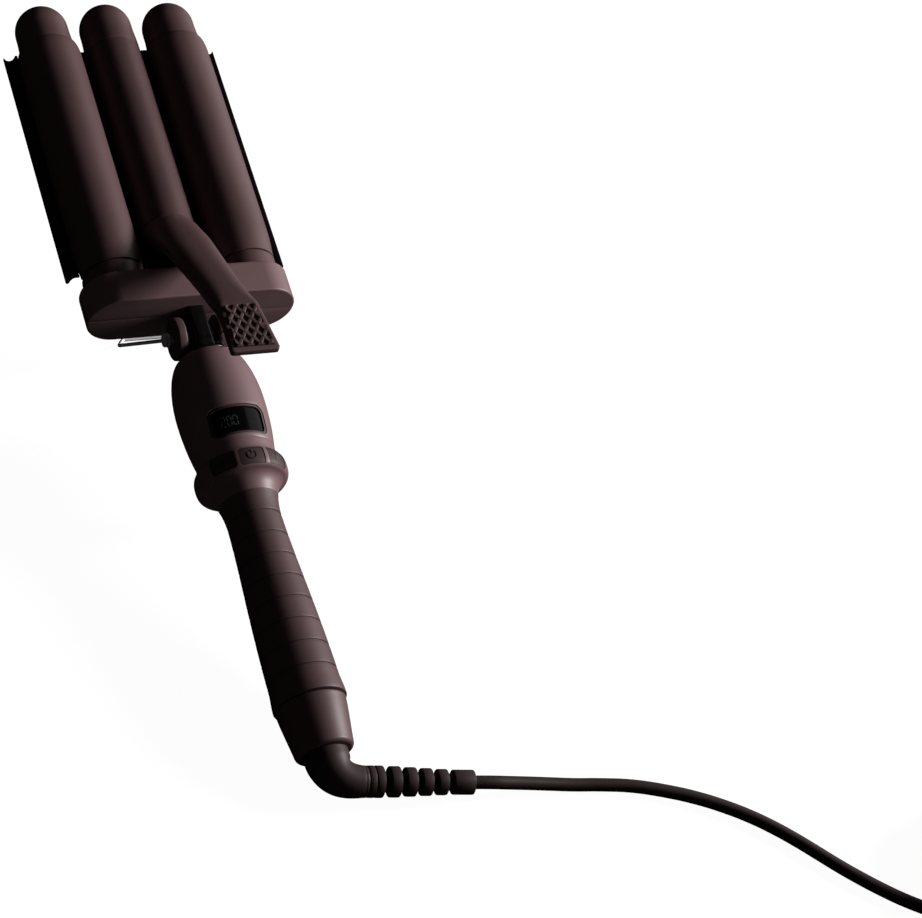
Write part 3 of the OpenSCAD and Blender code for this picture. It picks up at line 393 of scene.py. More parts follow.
RELIEF_TURN = math.radians(10)
RELIEF_WAY = Vector((math.cos(RELIEF_TURN), -math.sin(RELIEF_TURN), 0))
RELIEF_START = Vector((13, -238.7, 0))
RELIEF_END = RELIEF_START + 51 * RELIEF_WAY
exit_point = bench_point(*RELIEF_END)
lead_point = bench_point(*(RELIEF_END + 10 * RELIEF_WAY))
ROUTE = [(92, -237, 5.4), (112, -240, CORD_Z + 0.1), (140, -246, CORD_Z), (168, -258, CORD_Z),
         (190, -273, CORD_Z), (206, -289, CORD_Z), (220, -306, CORD_Z), (235, -322, CORD_Z), (252, -336, CORD_Z)]


def smooth_run(points, n):
    """A curve through the points, with n steps between each two."""
    points = [Vector(p) for p in points]
    run = []
    for i in range(len(points) - 1):
        p0, p1, p2 = points[max(i - 1, 0)], points[i], points[i + 1]
        p3 = points[min(i + 2, len(points) - 1)]
        for j in range(n):
            t = j / n
            run.append(0.5 * (2 * p1 + (p2 - p0) * t + (2 * p0 - 5 * p1 + 4 * p2 - p3) * t * t
                              + (3 * p1 - p0 - 3 * p2 + p3) * t ** 3))
    return run + [points[-1]]


def coil_point(turn):
    layer = min(int(turn / TURNS + 0.0001), LAYERS - 1)
    along = turn / TURNS - layer
    share = 1 - along if layer % 2 == 0 else along
    near = round(turn / TURNS)
    past = (turn - near * TURNS) / 0.5
    level = 0 if near == 0 else LAYERS - 1 if near == LAYERS else near - 1 + max(0, min(1, past + 0.5))
    r, a = COIL_IN + share * TURNS * STEP, HEADING - math.pi / 2 + 2 * math.pi * turn
    return Vector((COIL_C.x + r * math.cos(a), COIL_C.y + r * math.sin(a), COIL_Z + level * STEP))


before_meet = MEET - 22 * WAY - Vector((0, 0, 0.6))
meet_point = MEET - 6.2 * WAY
free_run = [exit_point] + smooth_run([lead_point] + ROUTE + [before_meet, meet_point], 2)
coil_run = [coil_point(i / 24) for i in range(int(LAYERS * TURNS * 24) + 1)]
tail_start = coil_run[-1] + 6.2 * WAY
PLUG = Vector((366, -314, 6.9))
tail_run = smooth_run([tail_start, tail_start + 6 * WAY, (329, -367, 22), (346, -358, 17), (358, -345, 12),
                       (365, -330, 8.5),
                       PLUG - Vector((0, 9, 0)), PLUG - Vector((0, 4, 0))], 2) + [PLUG]
lead_run = free_run + coil_run + tail_run

# %% Lead
let_go()
bpy.ops.curve.primitive_bezier_curve_add(location=(0, 0, 0))
mains_lead = bpy.context.active_object
mains_lead.name = "mains_lead"
lead_curve = mains_lead.data
lead_curve.splines.clear()
spline = lead_curve.splines.new("BEZIER")
spline.bezier_points.add(len(lead_run) - 1)
for point, place in zip(spline.bezier_points, lead_run):
    point.co = place / 1000
    point.handle_left_type = point.handle_right_type = "AUTO"
spline.resolution_u = 4
lead_curve.bevel_depth = CORD_D / 2
lead_curve.bevel_resolution = 6
lead_curve.use_fill_caps = True
lead_curve.materials.append(cord_sheath)
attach(mains_lead, "lead")
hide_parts("cord", "cord_coil", "cord_tail")

# %% [markdown]
# ## Barrels and tip caps
# The outer tubes are plain drawn tubes with a coating, and each ends in a moulded dome that stays cool. A tube
# is an outline spun round its axis. The cap is spun too: a short skirt, then a half sphere, closed below.

# %% Barrels and tip caps
PITCH_X, LIFT = 33.5, 2.0
TUBE_TOP, ARM_Y, BLOCK_TOP, BLOCK_Y = 175.2, 62.0, 32.2, 13.2
CAP_Y, CAP_R = 191.0, 13.45


def tube(name, x, y0, y1):
    return turned(name, [(13.0, y0), (13.75, y0), (14.0, y0 + 0.25), (14.0, y1 - 0.3), (13.85, y1 - 0.1),
                         (13.6, y1), (13.0, y1),
                         (13.0, y0)], centre=(x, 0, LIFT))


for side, x in (("left", -PITCH_X), ("right", PITCH_X)):
    done(tube(f"{side}_tube", x, 15.2, TUBE_TOP), "handle", f"{side}_barrel", barrel_coat)
done(tube("middle_tube", 0, ARM_Y, TUBE_TOP), "clip", "middle_barrel", barrel_coat)

cap_line = ([(0, 170.8), (12.2, 170.8), (12.9, 171.6), (12.9, 175.3), (13.6, 175.3), (13.85, 175.5), (13.95, 175.9)]
            + bezier((13.95, 176.2), (13.95, 180.5), (CAP_R, 184.5), (CAP_R, 188), 8)
            + arc(0, CAP_Y, CAP_R, 0, 84, 18) + [(0, CAP_Y + CAP_R)])
first_cap = turned("left_cap", cap_line, centre=(-PITCH_X, 0, LIFT))
right_cap = copy_of(first_cap, "right_cap", (2 * PITCH_X, 0, 0))
middle_cap = copy_of(first_cap, "middle_cap", (PITCH_X, 0, 0))
done(first_cap, "handle", "left_tip_cap", cap_brown)
done(right_cap, "handle", "right_tip_cap", cap_brown)
done(middle_cap, "clip", "middle_tip_cap", cap_brown)

# %% [markdown]
# ## Wings of the clip
# Over each outer tube lies a half-round shell with rounded shoulders at the tip and a taper at the block. Its
# outline is spun through a little less than half a turn, given a wall by Solidify, and its rims are bevelled.

# %% Wings
PLATE_IN, PLATE_OUT, WING_OUT = 14.5, 15.3, 16.1
WING_TOP, WING_FOOT = 179.0, 38.0
wing_line = ([(14.7, WING_FOOT)] + bezier((15.1, WING_FOOT + 0.3), (15.4, WING_FOOT + 6.4),
                                          (WING_OUT, WING_FOOT + 9.6), (WING_OUT, WING_FOOT + 16), 10)
             + bezier((WING_OUT, WING_TOP - 9.5), (WING_OUT, WING_TOP - 6), (15.7, WING_TOP - 2.4),
                      (14.65, WING_TOP - 1.4), 12))


def wing(name):
    piece = turned(name, wing_line, steps=56, centre=(PITCH_X, 0, LIFT), start=-7, angle=176)
    modify(piece, "SOLIDIFY", thickness=0.55, offset=-1)
    return round_edges(piece, 0.2, 50, 2)


right_wing = wing("right_wing_shell")
left_wing = copy_of(right_wing, "left_wing_shell", flip="X")
done(right_wing, "clip", "right_wing", brown_shell)
done(left_wing, "clip", "left_wing", brown_shell)

# %% [markdown]
# ## Black plates of the clip
# Under each wing sits a glossy black plate that presses the hair on the tube. It comes out below the wing as a
# thin blade with a small pointed ear at the tip. The section is a line, drawn out along the tube.

# %% Plates
RIM_DROP, RIM_T, RIM_REACH, PLATE_TOP = 5.0, 1.2, 22.0, 175.0


def blade(name):
    at = PITCH_X
    plan = ([(PLATE_IN, 41.8), (PLATE_OUT + 1.2, 41.8)]
            + bezier((17.0, 41.7), (19.3, 41.2), (20.2, 38.6), (21.0, 38.6), 8)
            + [(21.7, 38.8), (RIM_REACH, 39.3), (RIM_REACH, 178.2), (21.85, 178.6), (21.6, 178.4)]
            + bezier((21.5, 178.2), (20.6, 175.9), (17.6, 175.9), (PLATE_OUT + 0.4, 180.0), 9) + [(PLATE_IN, 180.0)])
    outer = drawn(name, [(at + x, y, LIFT - RIM_DROP) for x, y in plan], (0, 0, RIM_T))
    round_edges(outer, 0.3, 50, 2)
    lip = box(name + "_lip", (at + PLATE_IN, 47, LIFT - RIM_DROP), (at + PLATE_OUT, PLATE_TOP, LIFT - 2.1))
    skin = turned(name + "_skin", [(PLATE_OUT, 47), (PLATE_OUT, PLATE_TOP)], steps=56, centre=(at, 0, LIFT),
                  start=-7, angle=178)
    modify(skin, "SOLIDIFY", thickness=0.75, offset=-1)
    web = box(name + "_web", (at - 19.4, 47, LIFT + 2.2), (at - 14.4, PLATE_TOP, LIFT + 3.1))
    round_edges(web, 0.2, 50, 2)
    return joined(name, [outer, lip, skin, web])


right_blade = blade("right_clip_blade")
left_blade = copy_of(right_blade, "left_clip_blade", flip="X")
done(right_blade, "clip", "right_clip_plate", black_gloss)
done(left_blade, "clip", "left_clip_plate", black_gloss)

# %% [markdown]
# ## Fixed trough under the middle barrel
# The middle barrel presses the hair down into a fixed trough between the outer tubes. Its black plate and the
# brown cover behind it are spun through half a turn each.

# %% Trough
trough = turned("trough_skin", [(15.6, 32.4), (15.6, PLATE_TOP)], steps=48, centre=(0, 0, LIFT), start=180, angle=180)
modify(trough, "SOLIDIFY", thickness=0.8, offset=-1)
web_right = box("trough_web_right", (15.0, 32.4, LIFT - 3.1), (19.4, PLATE_TOP, LIFT - 2.2))
web_left = box("trough_web_left", (-19.4, 32.4, LIFT - 3.1), (-15.0, PLATE_TOP, LIFT - 2.2))
trough = joined("trough_liner", [trough, web_right, web_left])
done(trough, "handle", "trough_plate", black_gloss)
cover = turned("trough_back_cover", [(16.85, 32.4), (16.85, 172), (16.55, 173.2), (15.65, 174)], steps=44,
               centre=(0, 0, LIFT), start=192.5, angle=155)
modify(cover, "SOLIDIFY", thickness=1.1, offset=-1)
done(round_edges(cover, 0.2, 50, 2), "handle", "trough_cover", brown_shell)

# %% [markdown]
# ## Head block
# The block that carries the outer tubes is two shells that meet on the tubes' plane. It starts as a cube whose
# ends are fully rounded by a bevel, then its rims are softened, and a plane cuts it in two with a thin seam.

# %% Head block
BLOCK_W, BLOCK_FRONT, BLOCK_BACK = 104.0, 18.0, -14.8
BLOCK_LOW, BLOCK_HIGH = BLOCK_Y - 0.9, BLOCK_TOP - 1.7


def select_edges(piece, test):
    """Selects the edges whose middle and direction pass a test, and leaves the piece in edit mode."""
    hold(piece)
    bpy.ops.object.mode_set(mode="EDIT")
    bpy.ops.mesh.select_mode(type="EDGE")
    bpy.ops.mesh.select_all(action="DESELECT")
    bpy.ops.object.mode_set(mode="OBJECT")
    mesh = piece.data
    for edge in mesh.edges:
        a, b = (mesh.vertices[i].co for i in edge.vertices)
        edge.select = bool(test((a + b) / 2, (b - a).normalized()))
    bpy.ops.object.mode_set(mode="EDIT")


block = box("head_block", (-BLOCK_W / 2, BLOCK_LOW, BLOCK_BACK), (BLOCK_W / 2, BLOCK_HIGH, BLOCK_FRONT))
select_edges(block, lambda mid, way: abs(way.y) > 0.9)
bpy.ops.mesh.bevel(offset=(BLOCK_FRONT - BLOCK_BACK) / 2 - 0.3, segments=24, affect="EDGES")
bpy.ops.object.mode_set(mode="OBJECT")
for height, width in ((BLOCK_LOW, 0.9), (BLOCK_HIGH, 2.4)):
    select_edges(block, lambda mid, way: abs(mid.y - height) < 0.01 and abs(way.y) < 0.1)
    bpy.ops.mesh.bevel(offset=width, segments=5, affect="EDGES")
    bpy.ops.object.mode_set(mode="OBJECT")
for x in (-PITCH_X, PITCH_X):
    cut(block, barrel("hole", 15.1, 28.6, 40, (x, LIFT)))
front_half = copy_of(block, "head_block_front_shell")
back_half = block
back_half.name = "head_block_back_shell"
cut(front_half, box("keep", (-60, 0, LIFT + 0.12), (60, 50, 60)), "INTERSECT")
cut(back_half, box("keep", (-60, 0, -60), (60, 50, LIFT - 0.12)), "INTERSECT")
core = drawn("head_block_lip", [(-50.5, BLOCK_LOW + 1, LIFT - 0.6), (50.5, BLOCK_LOW + 1, LIFT - 0.6),
                                (50.5, BLOCK_HIGH - 1, LIFT - 0.6), (-50.5, BLOCK_HIGH - 1, LIFT - 0.6)], (0, 0, 1.2))
for half in (front_half, back_half):
    round_edges(half, 0.18, 60, 2)
back_half = joined("head_block_back_shell", [back_half, core])
done(front_half, "handle", "head_block_front", painted_light_shell, smooth=40)
done(back_half, "handle", "head_block_back", painted_light_shell, smooth=40)

# %% Heat collars
for side, x in (("left", -PITCH_X), ("right", PITCH_X)):
    collar = turned(f"{side}_neck_collar", [(14.06, 28.7), (15.05, 28.7), (15.05, 36.6), (14.95, 37.1), (14.6, 37.4),
                                            (14.06, 37.4), (14.06, 28.7)], centre=(x, 0, LIFT))
    done(collar, "handle", f"{side}_heat_collar", brown_shell)

# %% [markdown]
# ## Arm of the clip
# The arm leaves the middle tube as a full round, narrows to a slim bar that rises over the block, and ends in
# the thumb pad. Sections that are planes with rounded corners are set along its line and bridged, one after
# the other, so that the round end flows into the flat bar.

# %% Arm
SLOPE = math.radians(27.5)
BEND_Y, BEND_Z = -22.0, 16 + 84 * math.tan(SLOPE)
PAD_SLOPE = math.radians(8)


def loft(name, sections):
    """Bridges rounded sections, each (half width, height, roundness up to 1, centre), into one closed skin."""
    let_go()
    loops = []
    for half, height, roundness, centre in sections:
        let_go()
        bpy.ops.mesh.primitive_plane_add(size=2, location=(0, 0, 0))
        loop = bpy.context.active_object
        bpy.ops.object.mode_set(mode="EDIT")
        bpy.ops.mesh.select_mode(type="VERT")
        bpy.ops.mesh.select_all(action="SELECT")
        bpy.ops.mesh.bevel(offset=roundness, segments=7, affect="VERTICES")
        bpy.ops.object.mode_set(mode="OBJECT")
        loop.scale = (half, height / 2, 1)
        bpy.ops.object.transform_apply(location=False, rotation=False, scale=True)
        loop.rotation_euler = (math.pi / 2, 0, 0)
        loop.location = centre
        bpy.ops.object.transform_apply(location=True, rotation=True, scale=True)
        loops.append(loop)
    counts = [len(loop.data.vertices) for loop in loops]
    piece = joined(name, loops)
    for i in range(len(counts) - 1):
        bpy.ops.object.mode_set(mode="EDIT")
        bpy.ops.mesh.select_all(action="DESELECT")
        bpy.ops.object.mode_set(mode="OBJECT")
        first = sum(counts[:i])
        for v in range(first, first + counts[i] + counts[i + 1]):
            piece.data.vertices[v].select = True
        bpy.ops.object.mode_set(mode="EDIT")
        bpy.ops.mesh.select_mode(type="VERT")
        bpy.ops.mesh.bridge_edge_loops(type="PAIRS")
        bpy.ops.object.mode_set(mode="OBJECT")
    return tidy(piece, 0.0005)


def arm_top(y):
    """The height of the arm's top line."""
    if y >= ARM_Y:
        return 16.0
    return 16 + (ARM_Y - y) * math.tan(SLOPE) + 0.02 * max(0, 8 - (ARM_Y - y)) ** 2


arm_sections = [(13.7, 27.4, 0.99, (0, 61.95, LIFT)), (14.0, 28.0, 0.99, (0, 61.65, LIFT)),
                (13.95, 27.6, 0.985, (0, 60.0, LIFT + 0.8))]
for y, half, height, roundness in ((56, 13.5, 24.5, 0.95), (50, 13.0, 20.0, 0.9), (44, 12.6, 16.0, 0.86),
                                   (36, 12.1, 13.4, 0.84), (24, 11.5, 12.4, 0.84), (10, 10.7, 11.6, 0.82),
                                   (-4, 10.1, 10.8, 0.75), (-14, 9.8, 10.2, 0.6)):
    arm_sections.append((half, height, roundness, (0, y, arm_top(y) - height / 2)))
for y, half, height, roundness in ((-20, 9.6, 9.0, 0.4), (-23, 9.5, 7.6, 0.26), (-27, 9.6, 6.2, 0.18),
                                   (-36, 10.3, 5.0, 0.16),
                                   (-46, 11.1, 4.4, 0.16), (-50.3, 11.4, 4.2, 0.16), (-51.4, 10.9, 3.2, 0.16),
                                   (-51.7, 10.2, 2.0, 0.16)):
    top = (BEND_Z + (BEND_Y - y) * math.tan(PAD_SLOPE)) if y < BEND_Y else arm_top(y)
    sink = {-51.4: 0.5, -51.7: 1.1}.get(y, 0)
    arm_sections.append((half, height, roundness, (0, y, top - sink - height / 2)))
arm = loft("lever_arm", arm_sections)
plug_end = barrel("arm_plug", 12.9, 61.8, 72, (0, LIFT))


def cheek(name, x0, x1):
    outline = [(0, -2), (-8.6, 6.5), (-7.6, 10.2), (-7.4, 13.8), (-9.4, 17), (-11.0, 23), (-11.8, 30), (-11.8, 46),
               (2, 42.0), (13, 33.6),
               (11.6, 16), (10.5, 4)]
    piece = drawn(name, [(x0, y, z) for y, z in outline], (x1 - x0, 0, 0))
    return round_edges(piece, 0.5, 30, 3)


CHEEK_IN, CHEEK_OUT, HUB_R, HUB_OUT = 8.2, 11.7, 10.4, 12.6
parts = [arm, plug_end]
for s in (-1, 1):
    low, high = sorted((s * CHEEK_IN, s * CHEEK_OUT))
    parts.append(cheek(f"cheek_{s}", low, high))
    hub = barrel(f"hub_{s}", HUB_R, *sorted((s * CHEEK_IN, s * HUB_OUT)), axis="X", vertices=72)
    parts.append(round_edges(hub, 0.8, 50, 4))
lever = joined("lever_arm", parts)
for s in (-1, 1):
    cut(lever, barrel("pin_hole", 1.66, *sorted((s * 7, s * 15)), axis="X", vertices=32))
done(lever, "clip", "clip_arm", brown_shell, smooth=40)

# %% [markdown]
# ## Thumb pad
# The pad is a soft insert with raised ribs that cross in diamonds, so that a thumb doesn't slip. The ribs are
# one bar, copied to both slopes, and cut to the insert's outline.

# %% Thumb pad
PAD_MATRIX = Matrix.Translation((0, BEND_Y - 1.6, BEND_Z)) @ Matrix.Rotation(-PAD_SLOPE, 4, "X")
near_half, far_half, reach = 7.7, 9.7, 26.4
RIB_LEAN, RIB_STEP, RIB_HALF = 33, 5.0, 0.95


def pad_face(name, inset, low, high):
    return drawn(name, [(-near_half + inset, -inset, low), (near_half - inset, -inset, low),
                        (far_half - inset, -reach + inset, low), (-far_half + inset, -reach + inset, low)],
                 (0, 0, high - low))


pad_base = round_edges(pad_face("pad_base", 0, -0.7, 0.15), 0.35, 50, 3)
ribs = []
for lean in (-RIB_LEAN, RIB_LEAN):
    for i in range(-5, 6):
        rib = round_edges(box("rib", (-RIB_HALF, -24, 0.0), (RIB_HALF, 24, 1.1)), 0.45, 50, 3)
        rib.rotation_euler = (0, 0, math.radians(lean))
        rib.location = (i * RIB_STEP, -reach / 2, 0)
        settle(rib)
        cut(rib, pad_face("keep", 0.5, -1, 2), "INTERSECT")
        if len(rib.data.polygons):
            ribs.append(rib)
        else:
            bpy.data.objects.remove(rib)
pad = joined("thumb_pad_ribs", [pad_base] + ribs)
hold(pad)
pad.matrix_world = PAD_MATRIX
bpy.ops.object.transform_apply(location=True, rotation=True, scale=True)
done(pad, "clip", "thumb_pad", soft_grip, smooth=40)

# %% [markdown]
# ## Neck, hinge and stand
# Below the block the tool narrows to a black neck between the cheeks of the clip. The pin goes through it, with
# a dished head at each end, and the stand's wire loops round the pin.

# %% Neck
neck = drawn("neck_core", [(-4.4, -12.2, -9.4), (4.4, -12.2, -9.4), (4.4, -12.2, 9.4), (-4.4, -12.2, 9.4)],
             (0, 28.1, 0))
round_edges(neck, 1.6, 60, 4)
shoulder = box("neck_shoulder", (-11.8, 15.6, -9), (11.8, 26, 11))
lower = turned("neck_lower", [(0, -31.9), (10.4, -31.9), (10.4, -22.9), (13.4, -22.9), (13.4, -19.9), (10.4, -19.9),
                              (10.4, -12.3), (10.0, -11.95), (0, -11.95)], steps=72)
neck = joined("neck_core", [neck, shoulder, lower])
done(neck, "handle", "neck_post", black_gloss, smooth=40)
ring = turned("neck_trim_ring", [(10.5, -13.7), (11.8, -13.7), (12.3, -13.55), (12.6, -13.1),
                                 (12.65, -12.85), (12.5, -12.4),
                                 (12.2, -12.1), (11.8, -12.0), (10.5, -12.0), (10.5, -13.7)], steps=72)
done(ring, "handle", "neck_ring", black_gloss)
pin = barrel("pin_bar", 1.6, -16.4, 16.4, (0, 0), "X", 32)
heads = []
for s in (-1, 1):
    head = turned(f"pin_head_{s}", [(0, 0), (3.4, 0), (3.4, 0.5), (3.1, 0.95), (2.4, 1.2), (1.6, 1.2), (1.3, 1.0),
                                     (0, 0.95)],
                  steps=40)
    head.rotation_euler = (0, 0, math.radians(-90 * s))
    head.location = (s * 16.4, 0, 0)
    settle(head)
    heads.append(head)
done(joined("hinge_rivet", [pin] + heads), "handle", "hinge_pin", satin_nickel)


def wire(name, points, radius, resolution=4, radii=None):
    """A wire through the points, made a mesh."""
    let_go()
    bpy.ops.curve.primitive_nurbs_path_add(location=(0, 0, 0))
    piece = bpy.context.active_object
    piece.name = name
    curve = piece.data
    curve.splines.clear()
    run = curve.splines.new("POLY")
    run.points.add(len(points) - 1)
    for i, (point, place) in enumerate(zip(run.points, points)):
        point.co = (*place, 1)
        point.radius = radii[i] if radii else 1
    curve.bevel_depth = radius
    curve.bevel_resolution = resolution
    curve.use_fill_caps = True
    hold(piece)
    bpy.ops.object.convert(target="MESH")
    return tidy(bpy.context.active_object, 0.0005)


def rounded_run(corners, radius, n=6):
    """A path through corners, each turned with a small radius."""
    corners = [Vector(c) for c in corners]
    run = [corners[0]]
    for a, b, c in zip(corners, corners[1:], corners[2:]):
        u, v = (a - b).normalized(), (c - b).normalized()
        half = u.angle(v) / 2
        reach_in = min(radius / math.tan(half), (a - b).length / 2, (c - b).length / 2)
        p, q = b + u * reach_in, b + v * reach_in
        for i in range(n + 1):
            t = i / n
            run.append(p * (1 - t) ** 2 + b * 2 * t * (1 - t) + q * t * t)
    return run + [corners[-1]]


EYE_X, EYE_R, STAND_R, SPRING_R = 15.2, 2.73, 0.95, 0.4
lean = Vector((0, 38.5, -60.5)).normalized()
stand_run = rounded_run([Vector((-EYE_X, 0, 0)) + EYE_R * lean, (-18, 38.5, -59.3), (-15, 42.5, -60.5),
                         (15, 42.5, -60.5),
                         (18, 38.5, -59.3), Vector((EYE_X, 0, 0)) + EYE_R * lean], 2.2)
stand = wire("stand_wire", stand_run, STAND_R)
eyes = []
for s in (-1, 1):
    let_go()
    bpy.ops.mesh.primitive_torus_add(major_radius=EYE_R, minor_radius=STAND_R, major_segments=48, minor_segments=16,
                                     location=(s * EYE_X, 0, 0), rotation=(0, math.pi / 2, 0))
    eyes.append(bpy.context.active_object)
    bpy.ops.object.transform_apply(location=True, rotation=True, scale=True)
done(joined("stand_wire", [stand] + eyes), "stand", "wire_stand", satin_nickel, smooth=60)

spring_run = []
foot_a, arm_a = math.radians(125), math.radians(106)
total = 4 * math.pi + foot_a - arm_a
for i in range(97):
    a = foot_a + math.pi / 2 - total * i / 96
    spring_run.append((5.2 + 1.25 * (total / 2 / math.pi) * i / 96, 2.7 * math.cos(a), 2.7 * math.sin(a)))
first, last = Vector(spring_run[0]), Vector(spring_run[-1])
foot_way, arm_way = Vector((0, math.cos(foot_a), math.sin(foot_a))), Vector((0, math.cos(arm_a), math.sin(arm_a)))
leg_end = first + 19 * foot_way
spring_run = ([leg_end + Vector((0, -3.9, 2.35)), leg_end + Vector((0, -2.2, 1.1)), leg_end]
              + [first + d * foot_way for d in (12, 6)] + [Vector(p) for p in spring_run]
              + [last + d * arm_way for d in (6, 16, 26, 32)]
              + [last + 32 * arm_way + d * Vector((0, -math.cos(SLOPE), math.sin(SLOPE))) for d in (3, 9)])
done(wire("clip_spring", spring_run, SPRING_R, 3), "handle", "lever_spring", bright_steel, smooth=60)

# %% [markdown]
# ## Display housing
# The housing is a smooth bulb, spun from its outline and cut by a window with rounded corners. A thin frame
# lines the window and the lens sits back in it. Plain digits lie on the lens.

# %% Housing
bulb_line = (bezier((13.2, -13.9), (17.4, -15.4), (21.4, -27.9), (21.4, -43.05), 22)
             + bezier((21.4, -43.6), (21.4, -54.0), (20.2, -63.9), (19.2, -68.85), 14))
bulb_rim = [(10.5, -13.9), (12.9, -13.9), (13.25, -14.05), (13.4, -14.35), (13.35, -14.7), (13.7, -14.95)]
bulb = turned("housing_shell", bulb_rim + [p for p in bulb_line if p[0] > 14.4]
              + [(16.9, -68.85), (18.9, -43), (18.5, -30), (15, -19), (10.5, -16.4), (10.5, -13.9)], steps=128)


def window_tool(name, w, h, r, y, low, high):
    piece = box(name, (-w / 2, y - h / 2, low), (w / 2, y + h / 2, high))
    select_edges(piece, lambda mid, way: abs(way.z) > 0.9)
    bpy.ops.mesh.bevel(offset=r, segments=8, affect="EDGES")
    bpy.ops.object.mode_set(mode="OBJECT")
    return piece


WINDOW_Y = -68.9 + 2 + 7.8
OPENING_Y = WINDOW_Y - 0.4
cut(bulb, window_tool("window", 27.6, 15.2, 3.8, OPENING_Y, 8, 30))
front_bulb = copy_of(bulb, "housing_front_shell")
cut(front_bulb, box("keep", (-40, -90, 0.06), (40, 0, 40)), "INTERSECT")
cut(bulb, box("keep", (-40, -90, -40), (40, 0, -0.06)), "INTERSECT")
bulb.name = "housing_back_shell"
for half in (front_bulb, bulb):
    round_edges(half, 0.22, 50, 2)
done(front_bulb, "handle", "housing_front", painted_light_shell, smooth=40)
done(bulb, "handle", "housing_back", painted_light_shell, smooth=40)


def skin_of_bulb(name, up, down):
    """A turned band that follows the bulb round the window, between two depths."""
    band = [(r, y) for r, y in bulb_line[14:] if -68.8 < y < -46]
    outline = [(r - up, y) for r, y in band] + [(r - down, y) for r, y in reversed(band)]
    return turned(name, outline + outline[:1], steps=160)


frame_ring = skin_of_bulb("window_frame", 0.35, 0.95)
cut(frame_ring, window_tool("frame_outline", 27.1, 14.7, 3.6, OPENING_Y, 8, 30), "INTERSECT")
cut(frame_ring, window_tool("frame_opening", 24.8, 12.7, 2.8, OPENING_Y, 8, 30))
round_edges(frame_ring, 0.28, 50, 3)
done(frame_ring, "handle", None, key_rubber, smooth=40)
lens = skin_of_bulb("display_window", 1.0, 2.0)
cut(lens, window_tool("lens_outline", 25.8, 13.6, 3.2, OPENING_Y, 8, 30), "INTERSECT")
round_edges(lens, 0.15, 50, 2)
done(lens, "handle", "display_lens", dark_lens, smooth=40)

# %% [markdown]
# The display reads plain digits. A digit is drawn with up to seven bars; one bar is modelled, with its bevel,
# and copied to each place on the lens's curve.

# %% Digits
BARS = {"2": "abged", "0": "abcdef"}


def lens_r(y):
    """The lens's outer radius at a height."""
    return next(r0 + (r1 - r0) * (y0 - y) / (y0 - y1) for (r0, y0), (r1, y1) in zip(bulb_line, bulb_line[1:])
                if y1 <= y < y0) - 0.98


BAR_AT = {"a": (0, 1, 0), "b": (0.5, 0.5, 1), "c": (0.5, -0.5, 1), "d": (0, -1, 0), "e": (-0.5, -0.5, 1),
          "f": (-0.5, 0.5, 1), "g": (0, 0, 0)}
bars = []
for i, digit in enumerate("200"):
    for name in BARS[digit]:
        bx, by, up = BAR_AT[name]
        bar = box("bar", (-0.22, -1.05, -0.05), (0.22, 1.05, 0.05))
        round_edges(bar, 0.04, 50, 1)
        bar.rotation_euler = (0, 0, 0 if up else math.radians(90))
        bar.scale = (1, 1, 1) if up else (1, 0.85, 1)
        settle(bar)
        turn, height = (-8.2 + i * 3.1 + bx * 2.1) / 20.3, WINDOW_Y - 0.6 + by * 2.3
        bar.rotation_euler = (0, turn, 0)
        bar.location = (lens_r(height) * math.sin(turn), height, lens_r(height) * math.cos(turn))
        settle(bar)
        bars.append(bar)
done(joined("display_digits", bars), "handle", None, digit_green)

# %% [markdown]
# ## Button collar and buttons
# Under the display the handle swells into a collar with three keys. The collar is spun and its openings are
# cut with one rounded column, turned to each key's angle. A key is the same column, cut by a slightly smaller
# collar, so that it lies a little below the rim; one key is made and copied to the sides.

# %% Button collar
RING_TOP, GRIP_TOP, BUTTON_Y, BUTTON_ANGLE = -68.9, -93.9, -80.5, math.radians(38)


def collar_line(grow):
    return (bezier((19.2 + grow, RING_TOP), (19.0 + grow, -71.5), (18.8 + grow, -73.0), (19.3 + grow, -74.3), 5)
            + bezier((19.4 + grow, -74.5), (20.5 + grow, -75.5), (22.2 + grow, -76.2), (22.2 + grow, -80.4), 12)
            + bezier((22.2 + grow, -80.6), (22.2 + grow, -84.1), (21.5 + grow, -85.5), (19.2 + grow, -86.1), 12)
            + bezier((19.0 + grow, -86.2), (17.2 + grow, -87.0), (15.2 + grow, -89.0), (14.2 + grow, GRIP_TOP), 10))


def around(piece, turn):
    piece.rotation_euler = (0, turn, 0)
    return settle(piece)


collar = turned("key_collar", collar_line(0) + [(11.05, GRIP_TOP), (11.05, -90.9), (14.4, -87.9), (17.4, -84.9),
                                                (17.4, RING_TOP), (19.2, RING_TOP)], steps=128)
for k in (-1, 0, 1):
    cut(collar, around(window_tool("key_hole", 12.6, 9.0, 1.4, BUTTON_Y, 12, 30), k * BUTTON_ANGLE))
round_edges(collar, 0.18, 50, 2)
done(collar, "handle", "button_collar", painted_light_shell, smooth=40)


def key(name):
    column = window_tool(name, 12.2, 8.6, 1.2, BUTTON_Y, 18.7, 30)
    cut(column, turned("key_face", [(0, RING_TOP)] + collar_line(-0.3) + [(0, GRIP_TOP)], steps=160), "INTERSECT")
    round_edges(column, 0.35, 50, 3)
    stem = box("key_stem", (-3, BUTTON_Y - 3, 15.6), (3, BUTTON_Y + 3, 19.0))
    return joined(name, [column, round_edges(stem, 0.3, 50, 2)])


